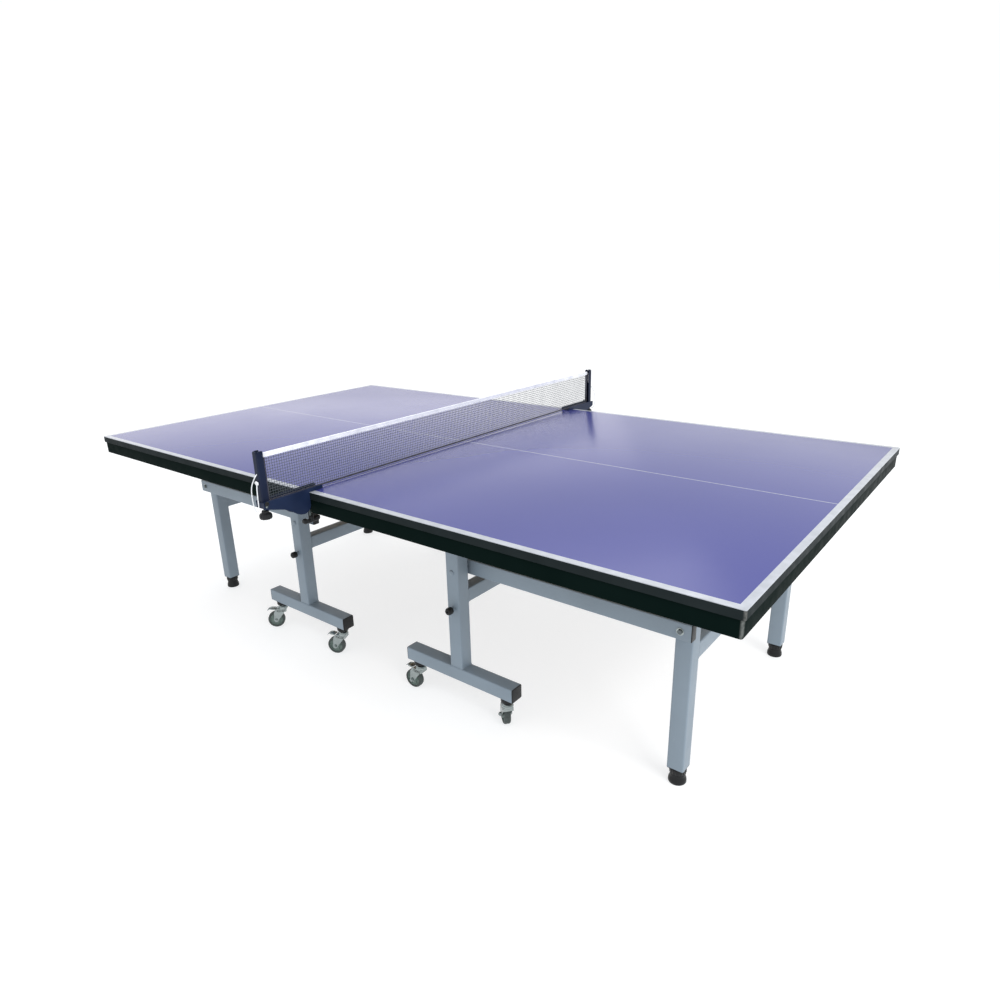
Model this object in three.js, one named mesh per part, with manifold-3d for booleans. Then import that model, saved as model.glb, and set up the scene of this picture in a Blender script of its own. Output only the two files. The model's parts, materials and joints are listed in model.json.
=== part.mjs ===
// Folding ping pong table: two wheeled halves that tip up on their own bases, and a net set.
// Millimetres. X runs along the table, Y across it and Z up. The origin is on the floor under
// the middle of the net. Half a is on the -X side and half b on the +X side; near is -Y, far is +Y.
// Each half is drawn once, on the +X side, and half a is that half turned by 180 degrees about Z.

import * as THREE from 'three';
import { mergeVertices } from 'three/addons/utils/BufferGeometryUtils.js';
import Module from 'manifold-3d';

const wasm = await Module();
wasm.setup();

// ---- driving dimensions ----

const gap = 0.3; // left between pieces that touch

const board = { inner: 2.5, outer: 1370, halfWidth: 762.5, bottom: 735, top: 760 };

const apron = { setBack: 4, bottom: 690, top: board.bottom - gap, wall: 2, flange: 28 };
const postNotch = { from: 490, to: 552 }; // where the posts pass the folded inner apron
const clampNotch = { from: 722, to: 770, reach: 46 }; // room for the net clamp at the joint
const clampPlate = { inner: 3, outer: 60, from: 731, to: 757.5, bottom: 696, top: 700, hole: 4.8 };

// The fold is a parallelogram: top pivots on the posts and the legs, rails below them.
const pivot = { baseX: 396, legX: 1122, topZ: 703, railZ: 506, pin: 5, hole: 5.8, openHole: 7.5 };

const post = { width: 50, depth: 50, y: 521, top: 712 };
const baseFoot = { length: 450, depth: 50, bottom: 118, top: 166 };
const baseCross = { width: 46, bottom: 391, top: 439 };
const leg = { size: 50, y: 426, bottom: 50, top: 712, plug: 5, plugHole: 6.5 };
const legCross = { width: 46, bottom: 393, top: 443 };
const tubeWall = 2;
const rail = { y: 467, depth: 28, height: 50, inner: 371, outer: 1152 };

const hingeBar = { bottom: 731.4, top: board.bottom - gap, width: 40 };
const ear = { thickness: 4, width: 30, drop: 13 };
const baseEars = [489, 549]; // inner faces of the two ears beside each post
const legEars = [396, 452];
const strap = { from: 470, to: 493 };
const lock = { z: 381, pin: 4.5, hole: 5.6, travel: 10, knobRadius: 12, knobLength: 20 };
const lug = { outboard: 6.5, inboard: 12, bottom: 692 };

const caster = { spread: 190, trail: 32, wheelRadius: 34, wheelHalf: 11, axle: 4, bore: 4.5, stemHole: 7.2 };
const wheelRim = { hub: 14, hubProud: 1.5, webFrom: 16, webTo: 27, dish: 4, shoulder: 3 };
const fork = {
  armInner: 14, armOuter: 17, eye: 9, bridgeFront: 14, bridgeBack: -29, bridgeBottom: 80, bridgeTop: 83,
  shoulderFront: 6, shoulderBack: -38, shoulderZ: 70, race: 19, raceTop: 93, neck: 13, collar: 19,
  collarBottom: 104, stem: 6, stemLength: 20, nut: 7, nutThickness: 3,
};
const pedal = { hingeX: -31.5, z: 82, thickness: 4, kneeX: -49.5, kneeRise: 3, tipX: -65.5, tipBottom: 76 };
const pedalHalfWidth = 11;
const casterTurns = { // where each caster trails to, in degrees from +X, as left by the last push
  a_near: [226, 205], a_far: [170, 214], b_near: [184, 141], b_far: [196, 158],
};
const levelFoot = {
  pad: 26, padHeight: 12, neck: 22, neckFrom: 22, neckTo: 31, collar: 24, collarFrom: 35, collarTop: 49.5,
  stem: 6, stemTop: 80,
};

const net = { half: 898, bottom: 763.4, top: 912.5, tape: 15, thickness: 1.6, tapeThickness: 3 };
const netPost = { y: 912.5, size: 22, wall: 3, cordHole: [846, 859], holeWidth: 6, bottom: 752.9, top: 920 };
const bracket = { halfWidth: 20, sheet: 2.5, tip: 712, outer: 926, floor: 750, clampTop: 717 };
const bracketEdge = { clear: 763.6, overBoard: 760.4, lip: 773 };
const bracketBelly = [ // the underside of its cheek, from the outer end in to the board's edge
  [922, 748], [860, 731], [838, 720], [818, 705], [804, 698.5], [788, 696], [775, 700], [767, 708],
];
const clampScrew = { x: -10.5, y: 747, stem: 4, padRadius: 9, padTop: 732.2, padBottom: 728 };
const wingKnob = { bottom: 652, top: 668, waist: 662, halfLength: 32, halfWidth: 8, bevel: 3 };
const wingHub = { reach: 10, gripFrom: 20, top: 674 };
const postKnob = { radius: 19, bottom: 714, top: 732, neck: 11, neckTop: 740, stem: 4.5 };
const cord = { radius: 1.6, y: 929.5, steps: 36, sides: 8 };
const pivotBolt = { spacer: 12, head: 8, headGap: 0.6, headHeight: 5, thread: 3, bite: 1 };

// ---- materials ----

function finish(color, roughness, metalness = 0) {
  return () => new THREE.MeshStandardMaterial({ color, roughness, metalness });
}

const playingSurface = finish('#6264a8', 0.35);
const blackSteel = finish('#15181a', 0.45, 0.3);
const greySteel = finish('#97a5b2', 0.45, 0.4);
const navySteel = finish('#22324f', 0.4, 0.4);
const brightZinc = finish('#c8ccd0', 0.3, 0.9);
const blackPlastic = finish('#121314', 0.5);
const greyTyre = finish('#6f7a75', 0.7);
const netThread = finish('#4a4a58', 0.9);
const whiteTape = finish('#f2f3f5', 0.8);

// ---- solids ----

function solidOf(geometry) {
  geometry.deleteAttribute('normal');
  geometry.deleteAttribute('uv');
  const merged = mergeVertices(geometry, 1e-4);
  return new wasm.Manifold(new wasm.Mesh({
    numProp: 3,
    vertProperties: merged.attributes.position.array,
    triVerts: new Uint32Array(merged.index.array),
  }));
}

function geometryOf(solid) {
  const { vertProperties, triVerts } = solid.getMesh();
  const geometry = new THREE.BufferGeometry();
  geometry.setAttribute('position', new THREE.BufferAttribute(vertProperties, 3));
  geometry.setIndex(new THREE.BufferAttribute(triVerts, 1));
  geometry.computeVertexNormals();
  return geometry;
}

const join = (...solids) => solids.reduce((whole, piece) => whole.add(piece));
const cut = (whole, ...tools) => tools.reduce((left, tool) => left.subtract(tool), whole);

function block([x0, x1], [y0, y1], [z0, z1]) {
  const geometry = new THREE.BoxGeometry(x1 - x0, y1 - y0, z1 - z0);
  return solidOf(geometry.translate((x0 + x1) / 2, (y0 + y1) / 2, (z0 + z1) / 2));
}

const about = (middle, size) => [middle - size / 2, middle + size / 2];
const grown = ([low, high], by) => [low - by, high + by];
// A stretch between two distances from the middle plane, on the side that sign names.
const onSide = (sign, near, far) => (sign > 0 ? [near, far] : [-far, -near]);

function rodAcross(radius, x, [y0, y1], z, sides = 12) {
  const geometry = new THREE.CylinderGeometry(radius, radius, y1 - y0, sides);
  return solidOf(geometry.translate(x, (y0 + y1) / 2, z));
}

function rodUp(radius, x, y, [z0, z1], sides = 12) {
  const geometry = new THREE.CylinderGeometry(radius, radius, z1 - z0, sides);
  return solidOf(geometry.rotateX(Math.PI / 2).translate(x, y, (z0 + z1) / 2));
}

// A turned solid about a vertical axis at the origin, from [radius, height] pairs, bottom first.
function turned(profile, segments) {
  const points = profile.map(([radius, height]) => new THREE.Vector2(radius, height));
  return solidOf(new THREE.LatheGeometry(points, segments).rotateX(Math.PI / 2));
}

// A plate standing along X or Y with the given outline of [across, height] pairs.
function plate(outline, thickness) {
  const shape = new THREE.Shape(outline.map(([across, height]) => new THREE.Vector2(across, height)));
  return new THREE.ExtrudeGeometry(shape, { depth: thickness, bevelEnabled: false });
}

const plateFacingY = (outline, [y0, y1]) =>
  solidOf(plate(outline, y1 - y0).rotateX(Math.PI / 2).translate(0, y1, 0));
const plateFacingX = (outline, [x0, x1]) =>
  solidOf(plate(outline, x1 - x0).rotateX(Math.PI / 2).rotateZ(Math.PI / 2).translate(x0, 0, 0));

function meshOf(name, solid, material) {
  const mesh = new THREE.Mesh(geometryOf(solid), material());
  mesh.name = name;
  return mesh;
}

// ---- base frame: two wheeled feet, two posts and a cross tube, welded from square tube ----

function baseFrame() {
  const x = pivot.baseX;
  const postX = about(x, post.width);
  const footX = about(x, baseFoot.length);
  const crossX = about(x, baseCross.width);
  const crossZ = [baseCross.bottom, baseCross.top];
  const innerFace = post.y - post.depth / 2;
  let frame = block(crossX, about(0, 2 * innerFace + 2 * tubeWall), crossZ);
  const crossBore = about(0, 2 * innerFace + 4 * tubeWall);
  const hollows = [block(grown(crossX, -tubeWall), crossBore, grown(crossZ, -tubeWall))];
  for (const side of [-1, 1]) {
    const y = about(side * post.y, post.depth);
    const footZ = [baseFoot.bottom, baseFoot.top];
    frame = join(frame, block(postX, y, [baseFoot.top - tubeWall, post.top]), block(footX, y, footZ));
    hollows.push(
      block(grown(postX, -tubeWall), grown(y, -tubeWall), [baseFoot.top, post.top + tubeWall]),
      block(grown(footX, tubeWall), grown(y, -tubeWall), grown(footZ, -tubeWall)),
      rodAcross(pivot.hole, x, grown(y, tubeWall), pivot.topZ),
      rodAcross(pivot.hole, x, grown(y, tubeWall), pivot.railZ),
      rodAcross(lock.hole, x, grown(y, tubeWall), lock.z, 8),
    );
    for (const end of [-1, 1]) {
      const stemHoleZ = about(baseFoot.bottom, 4 * tubeWall);
      hollows.push(rodUp(caster.stemHole, x + end * caster.spread, side * post.y, stemHoleZ, 8));
    }
  }
  return cut(frame, ...hollows);
}

// ---- top of one half ----

function topPanel() {
  const y = about(0, 2 * board.halfWidth);
  return block([board.inner, board.outer], y, [board.bottom, board.top]);
}

// A channel-section ring under the board, open towards the middle of the half. One half's ring is
// notched and plated at the joint for the net clamps.
function apronFrame(carriesClamp) {
  const x = [board.inner + apron.setBack, board.outer - apron.setBack];
  const y = about(0, 2 * (board.halfWidth - apron.setBack));
  const z = [apron.bottom, apron.top];
  const whole = block(x, y, z);
  const channel = block(grown(x, -apron.wall), grown(y, -apron.wall), grown(z, -apron.wall));
  const middle = block(grown(x, -apron.flange), grown(y, -apron.flange), grown(z, 1));
  const cuts = [channel, middle];
  const belowFlange = [apron.bottom - 1, apron.top - apron.wall];
  for (const side of [-1, 1]) {
    cuts.push(block([0, x[0] + apron.flange + 1], onSide(side, postNotch.from, postNotch.to), belowFlange));
  }
  let ring = cut(whole, ...cuts);
  if (carriesClamp) {
    for (const side of [-1, 1]) {
      const plateY = onSide(side, clampPlate.from, clampPlate.to);
      const plateZ = [clampPlate.bottom, clampPlate.top];
      const notch = block([0, clampNotch.reach], onSide(side, clampNotch.from, clampNotch.to), belowFlange);
      ring = cut(
        join(cut(ring, notch), block([clampPlate.inner, clampPlate.outer], plateY, plateZ)),
        rodUp(clampPlate.hole, -clampScrew.x, side * clampScrew.y, grown(plateZ, 2)),
      );
    }
  }
  return ring;
}

// A pair of ears with their pin, on one side, hanging from a hinge bar.
function earPair(x, side, faces) {
  const earZ = [pivot.topZ - ear.drop, hingeBar.top];
  const ears = faces.map((face) => {
    const y = onSide(side, face, face + ear.thickness);
    return block(about(x, ear.width), y, earZ);
  });
  const pinY = onSide(side, faces[0] + 1, faces[1] + ear.thickness - 1);
  return join(...ears, rodAcross(pivot.pin, x, pinY, pivot.topZ));
}

// Inner hinge frame: a cross bar over the posts, and two straps that end in the storage-lock lugs.
function innerHingeFrame() {
  const x = pivot.baseX;
  const barZ = [hingeBar.bottom, hingeBar.top];
  const lugX = x - (pivot.topZ - lock.z);
  let frame = block(about(x, hingeBar.width), about(0, 2 * (baseEars[1] + ear.thickness)), barZ);
  for (const side of [-1, 1]) {
    const lugY = onSide(side, baseEars[0], baseEars[0] + ear.thickness);
    const lugEnds = [lugX - lug.inboard, lugX + lug.outboard];
    frame = join(
      frame,
      earPair(x, side, baseEars),
      block([lugEnds[0], x], onSide(side, strap.from, strap.to), barZ),
      block(lugEnds, lugY, [lug.bottom, hingeBar.top]),
    );
    frame = cut(frame, rodAcross(lock.hole, lugX, grown(lugY, 1), pivot.topZ));
  }
  return frame;
}

function outerHingeBar() {
  const x = pivot.legX;
  const barZ = [hingeBar.bottom, hingeBar.top];
  const bar = block(about(x, hingeBar.width), about(0, 2 * (legEars[1] + ear.thickness)), barZ);
  return join(bar, earPair(x, -1, legEars), earPair(x, 1, legEars));
}

// ---- end legs and link rails ----

function endLegFrame() {
  const x = pivot.legX;
  const legX = about(x, leg.size);
  const crossZ = [legCross.bottom, legCross.top];
  const crossX = about(x, legCross.width);
  const innerFace = leg.y - leg.size / 2;
  let frame = block(crossX, about(0, 2 * innerFace + 2 * tubeWall), crossZ);
  const crossBore = about(0, 2 * innerFace + 4 * tubeWall);
  const hollows = [block(grown(crossX, -tubeWall), crossBore, grown(crossZ, -tubeWall))];
  for (const side of [-1, 1]) {
    const y = about(side * leg.y, leg.size);
    const through = grown(y, tubeWall);
    frame = join(frame, block(legX, y, [leg.bottom, leg.top]));
    hollows.push(
      block(grown(legX, -tubeWall), grown(y, -tubeWall), [leg.bottom + leg.plug, leg.top + tubeWall]),
      rodUp(leg.plugHole, x, side * leg.y, [leg.bottom - 1, leg.bottom + leg.plug + 1]),
      rodAcross(pivot.hole, x, through, pivot.topZ),
      rodAcross(pivot.openHole, x, through, pivot.railZ),
    );
  }
  return cut(frame, ...hollows);
}

// A rail is an open box tube with its two pivot bolts: one runs out through the post, one in
// through the leg. The bolt at the leg has play, because the tops already fix the legs' angle.
function linkRail(side) {
  const railY = about(side * rail.y, rail.depth);
  const railX = [rail.inner, rail.outer];
  const railZ = about(pivot.railZ, rail.height);
  const tube = cut(
    block(railX, railY, railZ),
    block(grown(railX, 1), grown(railY, -tubeWall), grown(railZ, -tubeWall)),
  );
  const { spacer, head, headGap, headHeight, thread, bite } = pivotBolt;
  const [innerFace, outerFace] = about(rail.y, rail.depth);
  const [postInner, postOuter] = about(post.y, post.depth);
  const postBolt = onSide(side, innerFace + bite, postOuter + thread);
  const spacerY = onSide(side, outerFace - bite, postInner - bite);
  const headY = onSide(side, postOuter + headGap, postOuter + headHeight);
  const legBolt = onSide(side, leg.y - leg.size / 2 - bite, outerFace - bite);
  return join(
    tube,
    rodAcross(pivot.pin, pivot.baseX, postBolt, pivot.railZ),
    rodAcross(spacer, pivot.baseX, spacerY, pivot.railZ),
    rodAcross(head, pivot.baseX, headY, pivot.railZ, 6),
    rodAcross(pivot.pin, pivot.legX, legBolt, pivot.railZ),
  );
}

// ---- small moving pieces ----

function levellingFoot() {
  const { pad, padHeight, neck, neckFrom, neckTo, collar, collarFrom, collarTop, stem, stemTop } = levelFoot;
  return turned([
    [0, 0], [pad, 0], [pad, padHeight], [neck, neckFrom], [neck, neckTo], [collar, collarFrom],
    [collar, collarTop], [stem, collarTop], [stem, stemTop], [0, stemTop],
  ], 12);
}

// The pin rests inside the post with its tip flush, and pushes in by the lock's travel.
function lockPin(side) {
  const innerTip = post.y - post.depth / 2 + 1;
  const outerFace = post.y + post.depth / 2;
  const pin = onSide(side, innerTip, outerFace + lock.travel + 2);
  const knobStart = outerFace + lock.travel + 0.6;
  const knob = onSide(side, knobStart, knobStart + lock.knobLength);
  return join(
    rodAcross(lock.pin, pivot.baseX, pin, lock.z),
    rodAcross(lock.knobRadius, pivot.baseX, knob, lock.z, 16),
  );
}

// A caster stands at the origin and trails towards -X, with its stem up inside the base foot.
function casterFork() {
  const { armInner, armOuter, eye, bridgeFront, bridgeBack, bridgeBottom, bridgeTop } = fork;
  const { shoulderFront, shoulderBack, shoulderZ, race, raceTop, neck, collar, collarBottom } = fork;
  const axleZ = caster.wheelRadius;
  const x = -caster.trail;
  const footZ = baseFoot.bottom - gap;
  const roundEnd = [180, 225, 270, 315, 360].map((angle) => {
    const turn = THREE.MathUtils.degToRad(angle);
    return [x + eye * Math.cos(turn), axleZ + eye * Math.sin(turn)];
  });
  const arm = [
    ...roundEnd, [shoulderFront, shoulderZ], [bridgeFront, bridgeTop], [bridgeBack, bridgeTop],
    [shoulderBack, shoulderZ],
  ];
  const bridge = block([bridgeBack, bridgeFront], about(0, 2 * armInner + 1), [bridgeBottom, bridgeTop]);
  const head = turned([
    [0, bridgeTop - 1], [race, bridgeTop - 1], [race, raceTop], [neck, raceTop + 5], [collar, collarBottom],
    [collar, footZ], [fork.stem, footZ], [fork.stem, footZ + fork.stemLength], [0, footZ + fork.stemLength],
  ], 12);
  return join(
    head,
    bridge,
    plateFacingY(arm, [armInner, armOuter]),
    plateFacingY(arm, [-armOuter, -armInner]),
    rodAcross(caster.axle, x, about(0, 2 * armOuter), axleZ, 8),
    rodAcross(fork.nut, x, [armOuter - 1, armOuter + fork.nutThickness], axleZ, 6),
    rodAcross(fork.nut, x, [-armOuter - fork.nutThickness, -armOuter + 1], axleZ, 6),
  );
}

function casterWheel() {
  const { wheelRadius, wheelHalf, bore, trail } = caster;
  const { hub, hubProud, webFrom, webTo, dish, shoulder } = wheelRim;
  const half = [[bore, wheelHalf + hubProud], [hub, wheelHalf + hubProud], [webFrom, wheelHalf - dish],
    [webTo, wheelHalf - dish], [webTo + 2, wheelHalf], [wheelRadius, wheelHalf - shoulder]];
  const outline = [
    ...half.map(([radius, y]) => [radius, -y]), ...half.reverse(), [bore, -wheelHalf - hubProud],
  ];
  const points = outline.map(([radius, y]) => new THREE.Vector2(radius, y));
  return solidOf(new THREE.LatheGeometry(points, 16).translate(-trail, 0, wheelRadius));
}

function brakePedal() {
  const { hingeX, z, thickness, kneeX, kneeRise, tipX, tipBottom } = pedal;
  const [bottom, top] = about(z, thickness);
  const outline = [
    [hingeX, bottom], [hingeX, top], [kneeX, top + kneeRise], [tipX, tipBottom + thickness],
    [tipX, tipBottom], [kneeX, bottom + kneeRise - 1],
  ];
  return plateFacingY(outline, about(0, 2 * pedalHalfWidth));
}

function casterAt(name, x, y, trailTo) {
  const group = new THREE.Group();
  group.position.set(x, y, 0);
  group.rotation.z = THREE.MathUtils.degToRad(trailTo - 180);
  group.add(
    meshOf(`${name}_fork`, casterFork(), brightZinc),
    meshOf(`${name}_wheel`, casterWheel(), greyTyre),
    meshOf(`${name}_brake`, brakePedal(), brightZinc),
  );
  return group;
}

// ---- one half of the table ----

function tableHalf(half) {
  const turned180 = half === 'a';
  const group = new THREE.Group();
  group.rotation.z = turned180 ? Math.PI : 0;
  group.add(
    meshOf(`base_frame_${half}`, baseFrame(), greySteel),
    meshOf(`top_panel_${half}`, topPanel(), playingSurface),
    meshOf(`apron_frame_${half}`, apronFrame(turned180), blackSteel),
    meshOf(`inner_hinge_frame_${half}`, innerHingeFrame(), blackSteel),
    meshOf(`outer_hinge_bar_${half}`, outerHingeBar(), blackSteel),
    meshOf(`end_leg_frame_${half}`, endLegFrame(), greySteel),
  );
  for (const place of ['near', 'far']) {
    const side = (place === 'far' ? 1 : -1) * (turned180 ? -1 : 1);
    const foot = meshOf(`levelling_foot_${half}_${place}`, levellingFoot(), blackPlastic);
    foot.position.set(pivot.legX, side * leg.y, 0);
    group.add(
      foot,
      meshOf(`link_rail_${half}_${place}`, linkRail(side), greySteel),
      meshOf(`lock_pin_${half}_${place}`, lockPin(side), blackPlastic),
    );
  }
  return group;
}

function casters() {
  const group = new THREE.Group();
  for (const [corner, turns] of Object.entries(casterTurns)) {
    const middle = (corner.startsWith('b') ? 1 : -1) * pivot.baseX;
    const y = (corner.endsWith('far') ? 1 : -1) * post.y;
    turns.forEach((trailTo, index) => {
      const x = middle + (index === 0 ? -1 : 1) * caster.spread;
      group.add(casterAt(`caster_${corner}_${index + 1}`, x, y, trailTo));
    });
  }
  return group;
}

// ---- net set ----

function netMesh() {
  const z = [net.bottom, net.top - net.tape - gap];
  return block(about(0, net.thickness), about(0, 2 * net.half), z);
}

function netTape() {
  return block(about(0, net.tapeThickness), about(0, 2 * net.half), [net.top - net.tape, net.top]);
}

// A channel-section post, open towards the net, with a hole in its web that the cord passes.
function netPostSolid(side) {
  const { y, size, wall, cordHole, holeWidth, bottom, top } = netPost;
  const [inner, outer] = about(y, size);
  const bore = onSide(side, inner - 1, outer - wall);
  const channel = block(about(0, size - 2 * wall), bore, grown([bottom, top], 1));
  const hole = block(about(0, holeWidth), onSide(side, outer - wall - 1, outer + 1), cordHole);
  return cut(block(about(0, size), onSide(side, inner, outer), [bottom, top]), channel, hole);
}

// A sheet trough that lies on the board, steps down past its edge and carries the post.
function netBracket(side) {
  const { halfWidth, sheet, tip, outer, floor, clampTop } = bracket;
  const { clear, overBoard, lip } = bracketEdge;
  const cheek = [
    [tip, overBoard], [tip, lip - 3], [tip + 3, lip], [outer, lip - 2], [outer, floor + 2],
    ...bracketBelly, [clear, clampTop], [clear, overBoard],
  ].map(([across, height]) => [side * across, height]);
  const outline = side > 0 ? cheek.reverse() : cheek;
  const x = about(0, 2 * halfWidth);
  return join(
    plateFacingX(outline, [halfWidth - sheet, halfWidth]),
    plateFacingX(outline, [-halfWidth, sheet - halfWidth]),
    block(grown(x, -1), onSide(side, tip, clear + sheet), [overBoard, overBoard + sheet]),
    block(grown(x, -1), onSide(side, clear, clear + sheet), [floor, overBoard + sheet]),
    cut(
      block(grown(x, -1), onSide(side, clear, outer), [floor, floor + sheet]),
      rodUp(postKnob.stem + 0.5, 0, side * netPost.y, [floor - 1, floor + sheet + 1]),
    ),
  );
}

// The wing screw grips the board from below through the plate on half a's apron.
function clampScrewSolid(side) {
  const { x, y, stem, padRadius, padTop, padBottom } = clampScrew;
  const { bottom, top, waist, halfLength, halfWidth, bevel } = wingKnob;
  const { reach, gripFrom } = wingHub;
  const middle = side * y;
  const outline = [
    [-halfLength, bottom + bevel], [-halfLength, top], [-gripFrom, top], [-reach, waist], [reach, waist],
    [gripFrom, top], [halfLength, top], [halfLength, bottom + bevel],
    [halfLength - 2 * bevel, bottom], [2 * bevel - halfLength, bottom],
  ].map(([across, height]) => [middle + across, height]);
  return join(
    plateFacingX(outline.reverse(), about(x, 2 * halfWidth - 2)),
    rodUp(halfWidth, x, middle, [bottom + 1, wingHub.top], 16),
    rodUp(stem, x, middle, [top, padBottom + 1]),
    rodUp(padRadius, x, middle, [padBottom, padTop], 16),
  );
}

// The round knob under the bracket draws the post down and sets the net's height.
function postKnobSolid(side) {
  const { radius, bottom, top, neck, neckTop, stem } = postKnob;
  const middle = side * netPost.y;
  return join(
    rodUp(radius, 0, middle, [bottom, top], 20),
    rodUp(neck, 0, middle, [top - 1, neckTop], 16),
    rodUp(stem, 0, middle, [neckTop - 1, netPost.bottom - gap]),
  );
}

// The net cord leaves the tape, drops inside the post, and comes out through its web as a slack loop.
function netCord(side) {
  const { radius, y, steps, sides } = cord;
  const route = [
    [0, 898.4, 905], [0, 902, 905], [0, 906, 904], [0, 909.5, 900.5], [0, 911, 895], [0, 911.2, 886],
    [0, 911.4, 876], [0, 912.5, 867], [0, 915, 860], [0, 919, 855], [0, 924, 852], [-2, y - 1.5, 847],
    [-7, y, 839], [-15, y + 0.5, 828], [-23, y + 1, 814], [-28, y + 1, 796], [-29, y + 1, 772],
    [-26, y + 1, 751], [-19, y + 1, 739], [-11, y + 1, 737], [-5, y + 0.5, 744], [-3, y, 760], [-2, y, 785],
    [0, y, 806], [3, y, 824],
  ].map(([across, out, height]) => new THREE.Vector3(-side * across, side * out, height));
  const path = new THREE.CatmullRomCurve3(route);
  const section = new THREE.Shape().absarc(0, 0, radius, 0, 2 * Math.PI);
  const geometry = new THREE.ExtrudeGeometry(section, { steps, curveSegments: sides, extrudePath: path });
  return solidOf(geometry);
}

function netSet() {
  const group = new THREE.Group();
  group.add(meshOf('net_mesh', netMesh(), netThread), meshOf('net_tape', netTape(), whiteTape));
  for (const [place, side] of [['near', -1], ['far', 1]]) {
    group.add(
      meshOf(`net_post_${place}`, netPostSolid(side), navySteel),
      meshOf(`net_bracket_${place}`, netBracket(side), navySteel),
      meshOf(`net_clamp_screw_${place}`, clampScrewSolid(side), blackPlastic),
      meshOf(`net_post_knob_${place}`, postKnobSolid(side), blackPlastic),
      meshOf(`net_cord_${place}`, netCord(side), whiteTape),
    );
  }
  return group;
}

const table = new THREE.Group();
table.add(tableHalf('a'), tableHalf('b'), casters(), netSet());

export default table;
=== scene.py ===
"""Looks of the folding ping pong table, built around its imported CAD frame.

Shapes are drawn in millimetres. Each half is drawn once on the +X side, as half b stands, and half a
is that half turned by 180 degrees about Z. A caster is drawn at the origin, trailing towards -X.
"""

import json
import math

import bmesh
import bpy
from mathutils import Matrix, Vector


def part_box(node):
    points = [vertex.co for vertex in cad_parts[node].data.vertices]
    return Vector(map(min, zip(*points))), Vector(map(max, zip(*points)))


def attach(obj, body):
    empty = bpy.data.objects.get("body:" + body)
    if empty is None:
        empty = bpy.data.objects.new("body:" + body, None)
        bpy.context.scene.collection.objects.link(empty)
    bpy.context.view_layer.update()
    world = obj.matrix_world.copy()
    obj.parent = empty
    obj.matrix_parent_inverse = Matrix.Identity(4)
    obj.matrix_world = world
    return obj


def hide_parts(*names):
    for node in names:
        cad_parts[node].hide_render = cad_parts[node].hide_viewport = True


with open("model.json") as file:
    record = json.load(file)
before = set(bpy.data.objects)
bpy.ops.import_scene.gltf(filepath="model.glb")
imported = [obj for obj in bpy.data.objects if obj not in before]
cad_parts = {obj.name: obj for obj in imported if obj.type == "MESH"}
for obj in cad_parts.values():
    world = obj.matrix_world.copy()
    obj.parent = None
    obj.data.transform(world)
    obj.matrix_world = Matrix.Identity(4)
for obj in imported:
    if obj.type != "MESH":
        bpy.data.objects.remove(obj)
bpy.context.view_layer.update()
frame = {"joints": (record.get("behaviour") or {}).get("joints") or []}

MM = 0.001
JOINTS = {joint["name"]: joint for joint in frame["joints"]}


def box_mm(node):
    """Lowest and highest corners of a CAD node, in millimetres."""
    low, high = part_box(node)
    return low / MM, high / MM


def joint_mm(name):
    return Vector(JOINTS[name]["pos_m"]) / MM


# ---- camera ----

camera_data = bpy.data.cameras.new("camera")
camera_data.lens, camera_data.sensor_width = 25.364, 36
camera_data.shift_x, camera_data.shift_y = 0.00664, 0.01455
camera = bpy.data.objects.new("camera", camera_data)
camera.location = (1.7573, -2.0238, 1.4105)
camera.rotation_euler = [math.radians(angle) for angle in (70.343, 1.444, 38.300)]
bpy.context.scene.collection.objects.link(camera)
bpy.context.scene.camera = camera

# ---- node materials ----


class Nodes:
    """Adds shader nodes to a material, and links or sets their inputs."""

    def __init__(self, name):
        self.material = bpy.data.materials.new(name)
        self.material.use_nodes = True
        self.tree = self.material.node_tree
        self.shader = self.tree.nodes["Principled BSDF"]
        self.place = self.add("ShaderNodeTexCoord").outputs["Object"]

    def add(self, kind, inputs=None, **settings):
        node = self.tree.nodes.new(kind)
        for name, value in settings.items():
            setattr(node, name, value)
        self.set(node, inputs or {})
        return node

    def set(self, node, inputs):
        for key, value in inputs.items():
            if isinstance(value, bpy.types.NodeSocket):
                self.tree.links.new(value, node.inputs[key])
            else:
                node.inputs[key].default_value = value

    def math(self, operation, *values):
        return self.add("ShaderNodeMath", dict(enumerate(values)), operation=operation).outputs[0]

    def noise(self, scale, detail=3.0, stretch=None, roughness=0.5):
        place = self.place
        if stretch:
            place = self.add("ShaderNodeMapping", {"Vector": place, "Scale": stretch}).outputs[0]
        inputs = {"Vector": place, "Scale": scale, "Detail": detail, "Roughness": roughness}
        return self.add("ShaderNodeTexNoise", inputs).outputs["Fac"]

    def between(self, factor, low, high, start=0.0, end=1.0):
        inputs = {"Value": factor, "From Min": low, "From Max": high, "To Min": start, "To Max": end}
        return self.add("ShaderNodeMapRange", inputs).outputs[0]

    def mix(self, factor, first, second):
        node = self.add("ShaderNodeMix", data_type="RGBA")
        for key, value in ((0, factor), (6, first), (7, second)):
            self.set(node, {key: value})
        return node.outputs[2]

    def bump(self, height, strength, distance=0.0004, under=None):
        inputs = {"Height": height, "Strength": strength, "Distance": distance}
        if under is not None:
            inputs["Normal"] = under
        return self.add("ShaderNodeBump", inputs).outputs[0]

    def axes(self):
        return self.add("ShaderNodeSeparateXYZ", {"Vector": self.place}).outputs

    def finish(self, **inputs):
        self.set(self.shader, inputs)
        return self.material


def shade(colour, by):
    return tuple(min(1.0, channel * by) for channel in colour) + (1.0,)


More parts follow.
